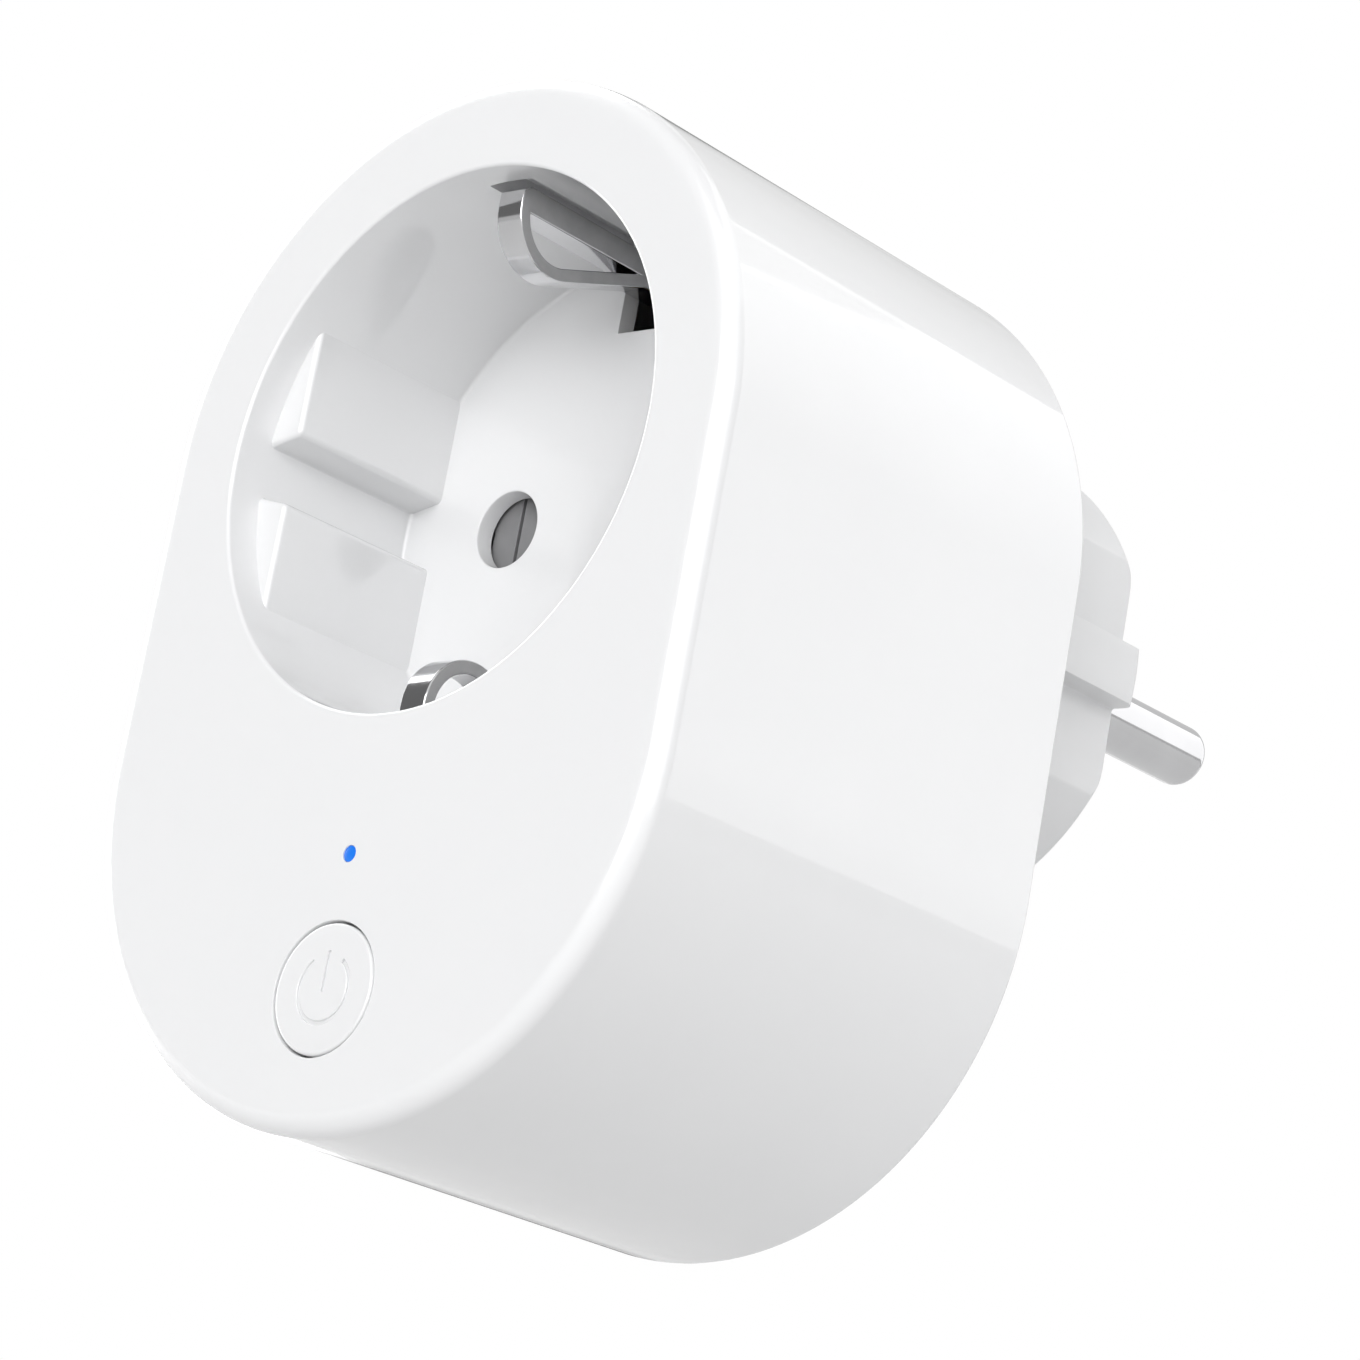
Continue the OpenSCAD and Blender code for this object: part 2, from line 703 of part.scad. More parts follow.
// Plastic case of the relay, open towards the board
module relay_case() {
  color([0.13, 0.13, 0.14]) stand() difference() {
    span([-relay_l / 2, relay_y, relay_front], [relay_l / 2, relay_y + relay_w, board_z]);
    span([-relay_l / 2 + relay_wall, relay_y + relay_wall, relay_front + relay_wall],
      [relay_l / 2 - relay_wall, relay_y + relay_w - relay_wall, board_z + over]);
  }
}

// Enamelled winding on its bobbin
module relay_coil() {
  color([0.75, 0.35, 0.15]) stand() translate([coil_x, relay_mid_y, coil_z]) difference() {
    union() {
      cylinder(r = coil_r, h = 0.8);
      cylinder(r = coil_r - 0.5, h = relay_base_z - 0.9 - coil_z);
      translate([0, 0, relay_base_z - 1.7 - coil_z]) cylinder(r = coil_r, h = 0.8);
    }
    translate([0, 0, -over]) cylinder(r = core_r + 0.03, h = relay_base_z);
  }
}

// Iron core with its pole face
module relay_core() {
  color([0.55, 0.55, 0.56]) stand() translate([coil_x, relay_mid_y, pole_z]) {
    cylinder(r = pole_r, h = pole_t);
    cylinder(r = core_r, h = relay_base_z - 0.85 - pole_z);
  }
}

// L-shaped iron yoke that carries the armature
module relay_yoke() {
  color([0.6, 0.6, 0.61]) stand() {
    span([yoke_x, relay_mid_y - 4, armature_back + 0.1], [yoke_x + yoke_t, relay_mid_y + 4, relay_base_z]);
    span([coil_x - 3, relay_mid_y - 4, relay_base_z - 0.8], [yoke_x + yoke_t, relay_mid_y + 4, relay_base_z]);
  }
}

// Swinging armature above the pole
module relay_armature() {
  color([0.62, 0.62, 0.63]) stand()
    span([0.6, relay_mid_y - 3.6, armature_z], [hinge_x, relay_mid_y + 3.6, armature_back]);
}

// Leaf spring with the moving contact, carried by the armature
module relay_contact_spring() {
  color([0.8, 0.62, 0.35]) stand() {
    span([rivet_x - 1.6, relay_mid_y - 1.8, armature_back], [1.9, relay_mid_y + 1.8, leaf_back]);
    translate([rivet_x, relay_mid_y, leaf_back - 0.05]) cylinder(r = rivet_r, h = rivet_t + 0.05);
  }
}

// Fixed contact on its post
module relay_fixed_contact() {
  color([0.8, 0.62, 0.35]) stand() {
    span([rivet_x - 2.6, relay_mid_y - 2, fixed_z], [rivet_x + 1.6, relay_mid_y + 2, fixed_z + sheet_t]);
    span([rivet_x - 2.6, relay_mid_y - 2, fixed_z], [rivet_x - 2.6 + sheet_t, relay_mid_y + 2, relay_base_z]);
    translate([rivet_x, relay_mid_y, fixed_z - rivet_t]) cylinder(r = rivet_r, h = rivet_t + 0.05);
  }
}

// Control board behind the face
module control_board() {
  color([0.1, 0.3, 0.45]) stand() difference() {
    intersection() {
      racetrack_plate(board_r, control_z, control_back);
      span([-control_half_w, control_top, 0], [control_half_w, body_w + centre_drop, body_d]);
    }
    for (x = header_x)
      translate([x, header_y, control_z - over]) cylinder(r = 0.5, h = control_t + over * 2);
  }
}

// Radio chip under its shield
module radio_chip() {
  color([0.08, 0.08, 0.09]) stand() span([-9, 27.4, control_back], [-4, 32.4, control_back + 0.9]);
}

// Pressed metal can over the radio chip
module radio_shield() {
  color([0.78, 0.78, 0.8]) stand() difference() {
    span([-13, 25.6, control_back], [-1, 34.4, control_back + 2]);
    span([-12.7, 25.9, control_back - over], [-1.3, 34.1, control_back + 1.7]);
  }
}

// Folded antenna strip
module antenna() {
  color([0.85, 0.6, 0.35]) stand() {
    for (row = [0:3]) span([3, 26 + row * 1.6, control_back], [12, 26.5 + row * 1.6, control_back + 0.3]);
    for (row = [0:2])
      span([row % 2 == 0 ? 11.5 : 3, 26 + row * 1.6, control_back], [row % 2 == 0 ? 12 : 3.5, 28.1 + row * 1.6, control_back + 0.3]);
  }
}

// Body of the push switch
module tact_switch() {
  color([0.15, 0.15, 0.16]) stand() translate([0, button_y, 0]) difference() {
    span([-switch_side / 2, -switch_side / 2, switch_z], [switch_side / 2, switch_side / 2, control_z]);
    translate([0, 0, switch_z - over]) cylinder(r = plunger_r + plunger_gap, h = over + plunger_sunk + button_travel + 0.15);
  }
}

// Plunger of the push switch
module tact_plunger() {
  color([0.8, 0.8, 0.8]) stand() translate([0, button_y, plunger_z])
    cylinder(r = plunger_r, h = plunger_rise + plunger_sunk);
}

// Status light on the control board
module status_led() {
  color([0.9, 0.9, 0.8]) stand() {
    span([-0.8, light_y - 0.4, control_z - 0.35], [0.8, light_y + 0.4, control_z]);
    translate([0, light_y, control_z - 0.8]) cylinder(r = 0.35, h = 0.5);
  }
}

// Plastic spacer of the board-to-board header
module header_base() {
  color([0.1, 0.1, 0.1]) stand() difference() {
    span([header_x[0] - 1, header_y - 0.95, control_back], [header_x[3] + 1, header_y + 1, control_back + 2.5]);
    for (x = header_x) translate([x, header_y, control_back - over]) cylinder(r = 0.5, h = 5);
  }
}

// Square pins that join the two boards
module header_pins() {
  color([0.85, 0.7, 0.3]) stand() for (x = header_x)
    span([x - header_pin_w / 2, header_y - header_pin_w / 2, control_z - 0.6],
      [x + header_pin_w / 2, header_y + header_pin_w / 2, board_z]);
}

front_shell();
rear_cover();
housing_screws();
button_cap();
light_pipe();
earth_clip_top();
earth_clip_bottom();
earth_strap();
plug_earth_top();
plug_earth_bottom();
shutter();
shutter_spring();
contact_carrier();
contact_fork_left();
contact_fork_right();
live_pin();
neutral_pin();
live_link();
neutral_link();
main_board();
x_capacitor();
varistor();
fuse_resistor();
rectifier();
bulk_capacitor();
output_capacitor();
transformer_core();
transformer_winding();
inductor();
shunt_resistor();
metering_chip();
relay_base();
relay_case();
relay_coil();
relay_core();
relay_yoke();
relay_armature();
relay_contact_spring();
relay_fixed_contact();
control_board();
radio_chip();
radio_shield();
antenna();
tact_switch();
tact_plunger();
status_led();
header_base();
header_pins();
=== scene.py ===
"""Looks of a smart plug: a moulded housing with a recessed socket, a plug island and a relay board inside."""
from __future__ import annotations

import json
import logging
import math
from dataclasses import dataclass
from enum import Enum
from typing import Callable, Sequence

import bpy
from mathutils import Matrix, Vector


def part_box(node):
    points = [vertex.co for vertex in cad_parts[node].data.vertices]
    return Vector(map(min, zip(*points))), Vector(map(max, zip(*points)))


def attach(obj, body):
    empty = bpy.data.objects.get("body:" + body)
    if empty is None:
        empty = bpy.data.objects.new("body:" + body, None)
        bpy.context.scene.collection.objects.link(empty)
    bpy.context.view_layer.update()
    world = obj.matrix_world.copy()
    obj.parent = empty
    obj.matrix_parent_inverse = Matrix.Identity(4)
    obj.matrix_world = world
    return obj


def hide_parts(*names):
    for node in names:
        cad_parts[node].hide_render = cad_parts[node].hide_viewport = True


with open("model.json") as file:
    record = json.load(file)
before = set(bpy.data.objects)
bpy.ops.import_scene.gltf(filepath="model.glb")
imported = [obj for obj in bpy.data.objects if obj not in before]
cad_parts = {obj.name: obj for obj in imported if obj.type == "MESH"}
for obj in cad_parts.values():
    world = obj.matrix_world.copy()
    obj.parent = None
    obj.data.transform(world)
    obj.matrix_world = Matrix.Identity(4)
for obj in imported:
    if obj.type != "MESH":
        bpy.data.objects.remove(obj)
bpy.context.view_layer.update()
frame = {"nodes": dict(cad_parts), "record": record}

LOG = logging.getLogger("smart_plug")
MM = 0.001
TURN = 2 * math.pi
ROUND_STEPS = 224
LARGE_STEPS = 128
PIN_STEPS = 96
BORE_STEPS = 64
SMALL_STEPS = 48
SCREW_STEPS = 32
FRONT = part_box("front_shell")[0].y
Point = Sequence[float]


# ---------------------------------------------------------------- modelling helpers


class Cut(Enum):
    """How two solids are combined."""

    TAKE = "DIFFERENCE"
    ADD = "UNION"


def place(across: float, down: float, depth: float) -> Vector:
    """Returns the frame's point for a place in mm right of, below and behind the socket's mouth."""
    return Vector((across * MM, FRONT + depth * MM, -down * MM))


def clear_selection() -> None:
    """Leaves nothing selected, so that the next operator acts on the new piece alone."""
    if bpy.context.mode != "OBJECT":
        bpy.ops.object.mode_set(mode="OBJECT")
    bpy.ops.object.select_all(action="DESELECT")


def take_up(piece: bpy.types.Object) -> None:
    """Makes a piece the only selected and active one."""
    clear_selection()
    bpy.context.view_layer.objects.active = piece
    piece.select_set(True)


def pick(piece: bpy.types.Object, wanted: Callable[[Vector], bool]) -> None:
    """Selects the vertices of a piece by their place and opens it in edit mode.

    Args:
        piece: The piece to work on.
        wanted: Says for a place in the row frame whether its vertex is selected.
    """
    take_up(piece)
    bpy.ops.object.mode_set(mode="EDIT")
    bpy.ops.mesh.select_mode(type="VERT")
    bpy.ops.mesh.select_all(action="DESELECT")
    bpy.ops.object.mode_set(mode="OBJECT")
    for vertex in piece.data.vertices:
        vertex.select = wanted(vertex.co)
    bpy.ops.object.mode_set(mode="EDIT")


def draw_line(name: str, points: Sequence[Vector]) -> bpy.types.Object:
    """Draws a chain of edges, extruded vertex by vertex, and leaves it open in edit mode.

    Args:
        name: The new piece's name.
        points: The chain's points in the row frame.

    Returns:
        The new piece.
    """
    clear_selection()
    bpy.ops.mesh.primitive_plane_add(size=MM, location=points[0])
    piece = bpy.context.object
    piece.name = name
    bpy.ops.object.transform_apply(location=True, rotation=True, scale=True)
    bpy.ops.object.mode_set(mode="EDIT")
    bpy.ops.mesh.select_mode(type="VERT")
    bpy.ops.mesh.select_all(action="SELECT")
    bpy.ops.mesh.merge(type="CENTER")
    for last, point in zip(points, points[1:]):
        bpy.ops.mesh.extrude_region_move(TRANSFORM_OT_translate={"value": point - last})
    bpy.ops.mesh.select_all(action="SELECT")
    return piece


def close_up(piece: bpy.types.Object) -> bpy.types.Object:
    """Merges doubles, fills open ends and points the faces outwards.

    Args:
        piece: A piece that is open in edit mode.

    Returns:
        The closed piece, in object mode.
    """
    bpy.ops.mesh.select_all(action="SELECT")
    bpy.ops.mesh.remove_doubles(threshold=2e-6)
    bpy.ops.mesh.fill_holes(sides=0)
    bpy.ops.mesh.select_all(action="SELECT")
    bpy.ops.mesh.normals_make_consistent(inside=False)
    bpy.ops.object.mode_set(mode="OBJECT")
    return piece


def turned(
    name: str, profile: Sequence[Point], across: float = 0.0, down: float = 0.0,
    steps: int = ROUND_STEPS, start: float | None = None, sweep: float = TURN,
) -> bpy.types.Object:
    """Spins a profile about a line along the depth.

    Args:
        name: The new piece's name.
        profile: Pairs of radius and depth in mm. A ring repeats its first pair at the end.
        across: Distance of the line to the right of the socket axis, in mm.
        down: Distance of the line below the socket axis, in mm.
        steps: Number of steps in the sweep.
        start: Angle where the sweep starts. With none it is half a step, so that no vertex lies
            level with the axis.
        sweep: Angle of the sweep.

    Returns:
        The closed solid.
    """
    angle = sweep / steps / 2 if start is None else start
    side, lift = math.cos(angle), -math.sin(angle)
    points = [place(across + r * side, down + r * lift, depth) for r, depth in profile]
    piece = draw_line(name, points)
    bpy.ops.mesh.spin(steps=steps, angle=sweep, center=place(across, down, 0), axis=(0, 1, 0))
    return close_up(piece)


def prism(name: str, outline: Sequence[Vector], push: Vector) -> bpy.types.Object:
    """Draws a closed outline, fills it and extrudes it.

    Args:
        name: The new piece's name.
        outline: The outline's corners in the row frame, all in one plane.
        push: How far and which way the outline is extruded, in metres.

    Returns:
        The closed solid.
    """
    piece = draw_line(name, outline)
    bpy.ops.mesh.edge_face_add()
    bpy.ops.mesh.extrude_region_move(TRANSFORM_OT_translate={"value": push})
    return close_up(piece)


def block(name: str, low: Point, high: Point) -> bpy.types.Object:
    """Makes a box between two corners given in mm right of, below and behind the socket's mouth."""
    clear_selection()
    first, last = place(*low), place(*high)
    bpy.ops.mesh.primitive_cube_add(size=1, location=(first + last) / 2)
    piece = bpy.context.object
    piece.name = name
    piece.scale = [abs(b - a) for a, b in zip(first, last)]
    bpy.ops.object.transform_apply(location=True, rotation=True, scale=True)
    return piece


def combine(body: bpy.types.Object, tool: bpy.types.Object, how: Cut) -> bpy.types.Object:
    """Combines a tool with a body and removes the tool.

    Args:
        body: The solid that is changed.
        tool: The solid it is changed with.
        how: Whether the tool is taken away or added.

    Returns:
        The changed body.
    """
    take_up(body)
    change = body.modifiers.new("change", "BOOLEAN")
    change.operation = how.value
    change.solver = "EXACT"
    change.object = tool
    bpy.ops.object.modifier_apply(modifier=change.name)
    bpy.data.objects.remove(tool, do_unlink=True)
    return body


def stretch_down(piece: bpy.types.Object, drop: float) -> bpy.types.Object:
    """Moves the half of a round piece below the socket axis down, which makes it a racetrack."""
    pick(piece, lambda co: co.z < 0)
    bpy.ops.transform.translate(value=(0, 0, -drop * MM))
    bpy.ops.object.mode_set(mode="OBJECT")
    return piece


def soften(piece: bpy.types.Object, width: float, segments: int = 2, above: float = 50) -> bpy.types.Object:
    """Rounds the sharp edges of a piece.

    Args:
        piece: The piece to round.
        width: Width of the rounding in mm.
        segments: Number of steps in the rounding.
        above: Edges sharper than this angle in degrees are rounded.

    Returns:
        The same piece.
    """
    take_up(piece)
    bevel = piece.modifiers.new("soften", "BEVEL")
    bevel.width = width * MM
    bevel.segments = segments
    bevel.limit_method = "ANGLE"
    bevel.angle_limit = math.radians(above)
    bpy.ops.object.modifier_apply(modifier=bevel.name)
    return piece


def polish(piece: bpy.types.Object, angle: float = 32) -> bpy.types.Object:
    """Shades a piece smooth up to an angle, with flat faces kept flat."""
    take_up(piece)
    bpy.ops.object.shade_smooth_by_angle(angle=math.radians(angle))
    weigh = piece.modifiers.new("weigh", "WEIGHTED_NORMAL")
    weigh.keep_sharp = True
    bpy.ops.object.modifier_apply(modifier=weigh.name)
    return piece


def copied(piece: bpy.types.Object, move: Vector) -> bpy.types.Object:
    """Copies a piece with a mesh of its own and moves the copy."""
    take_up(piece)
    bpy.ops.object.duplicate(linked=False)
    twin = bpy.context.object
    twin.data.transform(Matrix.Translation(move))
    return twin


def mirrored(piece: bpy.types.Object, name: str) -> bpy.types.Object:
    """Copies a piece to the other side of the socket axis, upside down."""
    take_up(piece)
    bpy.ops.object.duplicate(linked=False)
    twin = bpy.context.object
    twin.name = name
    bpy.ops.object.mode_set(mode="EDIT")
    bpy.ops.mesh.select_all(action="SELECT")
    bpy.ops.transform.resize(value=(1, 1, -1), center_override=(0, 0, 0))
    bpy.ops.mesh.normals_make_consistent(inside=False)
    bpy.ops.object.mode_set(mode="OBJECT")
    return twin


def arc(centre: Point, radius: float, first: float, last: float, steps: int) -> list[tuple[float, float]]:
    """Lists the points of an arc.

    Args:
        centre: The arc's centre.
        radius: The arc's radius.
        first: The first angle in degrees.
        last: The last angle in degrees.
        steps: The number of steps.

    Returns:
        The points, both ends included.
    """
    angles = [math.radians(first + (last - first) * step / steps) for step in range(steps + 1)]
    return [(centre[0] + radius * math.cos(a), centre[1] + radius * math.sin(a)) for a in angles]


# ---------------------------------------------------------------- finishes


class Pattern(Enum):
    """What the surface of a finish shows."""

    MOULDED = "moulded"
    BRUSHED = "brushed"
    BOARD = "board"
    WOUND = "wound"
    GRANULAR = "granular"


def new_group(
    name: str, inputs: dict[str, tuple[str, object]], outputs: dict[str, str]
) -> bpy.types.NodeTree:
    """Makes a shader node group with named sockets.

    Args:
        name: The group's name.
        inputs: Socket kind and first value by name.
        outputs: Socket kind by name.

    Returns:
        The node tree, with its input and output nodes.
    """
    tree = bpy.data.node_groups.new(name, "ShaderNodeTree")
    for label, (kind, value) in inputs.items():
        socket = tree.interface.new_socket(label, in_out="INPUT", socket_type=kind)
        if value is not None:
            socket.default_value = value
    for label, kind in outputs.items():
        tree.interface.new_socket(label, in_out="OUTPUT", socket_type=kind)
    tree.nodes.new("NodeGroupInput")
    tree.nodes.new("NodeGroupOutput")
    return tree


def ends(tree: bpy.types.NodeTree) -> tuple[bpy.types.Node, bpy.types.Node]:
    """Returns a group's input and output nodes."""
    return tree.nodes["Group Input"], tree.nodes["Group Output"]


def scaled_noise(tree: bpy.types.NodeTree, vector: bpy.types.NodeSocket, scale: bpy.types.NodeSocket,
                 detail: float) -> bpy.types.Node:
    """Adds a noise texture that reads a vector and a scale, and returns its node."""
    noise = tree.nodes.new("ShaderNodeTexNoise")
    noise.inputs["Detail"].default_value = detail
    tree.links.new(vector, noise.inputs["Vector"])
    tree.links.new(scale, noise.inputs["Scale"])
    return noise


def mottle_group() -> bpy.types.NodeTree:
    """Builds the soft colour variation of a moulded or coated surface."""
    tree = new_group(
        "mottle",
        {"Vector": ("NodeSocketVector", None), "Scale": ("NodeSocketFloat", 300.0),
         "Light": ("NodeSocketColor", (1, 1, 1, 1)), "Deep": ("NodeSocketColor", (0.9, 0.9, 0.9, 1))},
        {"Color": "NodeSocketColor", "Mask": "NodeSocketFloat"},
    )
    start, end = ends(tree)
    noise = scaled_noise(tree, start.outputs["Vector"], start.outputs["Scale"], 4)
    spread = tree.nodes.new("ShaderNodeMapRange")
    spread.inputs["From Min"].default_value = 0.35
    spread.inputs["From Max"].default_value = 0.65
    blend = tree.nodes.new("ShaderNodeMix")
    blend.data_type = "RGBA"
    tree.links.new(noise.outputs["Fac"], spread.inputs["Value"])
    tree.links.new(spread.outputs["Result"], blend.inputs["Factor"])
    tree.links.new(start.outputs["Light"], blend.inputs["A"])
    tree.links.new(start.outputs["Deep"], blend.inputs["B"])
    tree.links.new(blend.outputs["Result"], end.inputs["Color"])
    tree.links.new(spread.outputs["Result"], end.inputs["Mask"])
    return tree


def grain_group() -> bpy.types.NodeTree:
    """Builds the fine height of a moulded or sintered surface."""
    tree = new_group(
        "fine_grain",
        {"Vector": ("NodeSocketVector", None), "Scale": ("NodeSocketFloat", 6000.0)},
        {"Height": "NodeSocketFloat"},
    )
    start, end = ends(tree)
    noise = scaled_noise(tree, start.outputs["Vector"], start.outputs["Scale"], 3)
    tree.links.new(noise.outputs["Fac"], end.inputs["Height"])
    return tree


def brushed_group() -> bpy.types.NodeTree:
    """Builds fine drawn lines along the depth, as on rolled or turned metal."""
    tree = new_group(
        "drawn_lines",
        {"Vector": ("NodeSocketVector", None), "Scale": ("NodeSocketFloat", 9000.0)},
        {"Height": "NodeSocketFloat", "Mask": "NodeSocketFloat"},
    )
    start, end = ends(tree)
    squeeze = tree.nodes.new("ShaderNodeMapping")
    squeeze.inputs["Scale"].default_value = (1, 0.03, 1)
    tree.links.new(start.outputs["Vector"], squeeze.inputs["Vector"])
    noise = scaled_noise(tree, squeeze.outputs["Vector"], start.outputs["Scale"], 4)
    spread = tree.nodes.new("ShaderNodeMapRange")
    spread.inputs["From Min"].default_value = 0.4
    spread.inputs["From Max"].default_value = 0.7
    tree.links.new(noise.outputs["Fac"], spread.inputs["Value"])
    tree.links.new(noise.outputs["Fac"], end.inputs["Height"])
    tree.links.new(spread.outputs["Result"], end.inputs["Mask"])
    return tree


def tracks_group() -> bpy.types.NodeTree:
    """Builds the copper tracks that show through a board's coating."""
    tree = new_group(
        "tracks",
        {"Vector": ("NodeSocketVector", None), "Scale": ("NodeSocketFloat", 260.0)},
        {"Height": "NodeSocketFloat", "Mask": "NodeSocketFloat"},
    )
    start, end = ends(tree)
    cells = tree.nodes.new("ShaderNodeTexVoronoi")
    cells.distance = "CHEBYCHEV"
    cells.feature = "F1"
    tree.links.new(start.outputs["Vector"], cells.inputs["Vector"])
    tree.links.new(start.outputs["Scale"], cells.inputs["Scale"])
    rings = tree.nodes.new("ShaderNodeMath")
    rings.operation = "PINGPONG"
    rings.inputs[1].default_value = 0.09
    tree.links.new(cells.outputs["Distance"], rings.inputs[0])
    spread = tree.nodes.new("ShaderNodeMapRange")
    spread.inputs["From Min"].default_value = 0.05
    spread.inputs["From Max"].default_value = 0.06
    tree.links.new(rings.outputs["Value"], spread.inputs["Value"])
    tree.links.new(spread.outputs["Result"], end.inputs["Height"])
    tree.links.new(spread.outputs["Result"], end.inputs["Mask"])
    return tree


def turns_group() -> bpy.types.NodeTree:
    """Builds the side-by-side turns of a winding."""
    tree = new_group(
        "wire_turns",
        {"Vector": ("NodeSocketVector", None), "Scale": ("NodeSocketFloat", 900.0)},
        {"Height": "NodeSocketFloat", "Mask": "NodeSocketFloat"},
    )
    start, end = ends(tree)
    wave = tree.nodes.new("ShaderNodeTexWave")
    wave.bands_direction = "Y"
    wave.inputs["Distortion"].default_value = 0.4
    tree.links.new(start.outputs["Vector"], wave.inputs["Vector"])
    tree.links.new(start.outputs["Scale"], wave.inputs["Scale"])
    tree.links.new(wave.outputs["Fac"], end.inputs["Height"])
    tree.links.new(wave.outputs["Fac"], end.inputs["Mask"])
    return tree


@dataclass(frozen=True)
class Finish:
    """The finish of one material: its colours, gloss and surface."""

    name: str
    light: Point
    deep: Point
    roughness: float
    pattern: Pattern = Pattern.MOULDED
    metallic: float = 0.0
    coat: float = 0.0
    coat_roughness: float = 0.03
    coat_ior: float = 1.5
    ior: float = 1.5
    spread: float = 0.04
    mottle: float = 300.0
    scale: float = 6000.0
    height: float = 0.004
    glow: Point | None = None
    glow_strength: float = 0.0

    def build(self, groups: dict[str, bpy.types.NodeTree]) -> bpy.types.Material:
        """Builds the material.

        Args:
            groups: The shared node groups by name.

        Returns:
            The new material.
        """
        material = bpy.data.materials.new(self.name)
        material.use_nodes = True
        tree = material.node_tree
        shader = tree.nodes["Principled BSDF"]
        shader.inputs["Metallic"].default_value = self.metallic
        shader.inputs["IOR"].default_value = self.ior
        shader.inputs["Coat Weight"].default_value = self.coat
        shader.inputs["Coat Roughness"].default_value = self.coat_roughness
        shader.inputs["Coat IOR"].default_value = self.coat_ior
        where = tree.nodes.new("ShaderNodeTexCoord").outputs["Object"]
        colour = self.placed(tree, groups["mottle"], where, self.mottle)
        colour.inputs["Light"].default_value = (*self.light, 1)
        colour.inputs["Deep"].default_value = (*self.deep, 1)
        surface = self.placed(tree, groups[self.pattern.value], where, self.scale)
        mask = surface.outputs["Mask"] if "Mask" in surface.outputs else colour.outputs["Mask"]
        base = colour.outputs["Color"]
        if self.pattern in (Pattern.BOARD, Pattern.WOUND, Pattern.BRUSHED):
            base = self.marked(tree, base, mask)
        tree.links.new(base, shader.inputs["Base Color"])
        rough = tree.nodes.new("ShaderNodeMapRange")
        rough.inputs["To Min"].default_value = self.roughness
        rough.inputs["To Max"].default_value = self.roughness + self.spread
        tree.links.new(mask, rough.inputs["Value"])
        tree.links.new(rough.outputs["Result"], shader.inputs["Roughness"])
        bump = tree.nodes.new("ShaderNodeBump")
        bump.inputs["Strength"].default_value = 1.0
        bump.inputs["Distance"].default_value = self.height * MM
        tree.links.new(surface.outputs["Height"], bump.inputs["Height"])
        tree.links.new(bump.outputs["Normal"], shader.inputs["Normal"])
        if self.glow is not None:
            shader.inputs["Emission Color"].default_value = (*self.glow, 1)
            shader.inputs["Emission Strength"].default_value = self.glow_strength
        return material

    def marked(self, tree: bpy.types.NodeTree, base: bpy.types.NodeSocket,
               mask: bpy.types.NodeSocket) -> bpy.types.NodeSocket:
        """Tints the base colour where the pattern's mask is high and returns the new colour socket."""
        blend = tree.nodes.new("ShaderNodeMix")
        blend.data_type = "RGBA"
        amount = 0.75 if self.pattern is Pattern.WOUND else 1.35
        blend.inputs["B"].default_value = (*[min(1, c * amount) for c in self.light], 1)
        tree.links.new(mask, blend.inputs["Factor"])
        tree.links.new(base, blend.inputs["A"])
        return blend.outputs["Result"]

    @staticmethod
    def placed(tree: bpy.types.NodeTree, group: bpy.types.NodeTree, where: bpy.types.NodeSocket,
               scale: float) -> bpy.types.Node:
        """Places a shared group in a material's tree with its own scale."""
        node = tree.nodes.new("ShaderNodeGroup")
        node.node_tree = group
        node.inputs["Scale"].default_value = scale
        tree.links.new(where, node.inputs["Vector"])
        return node


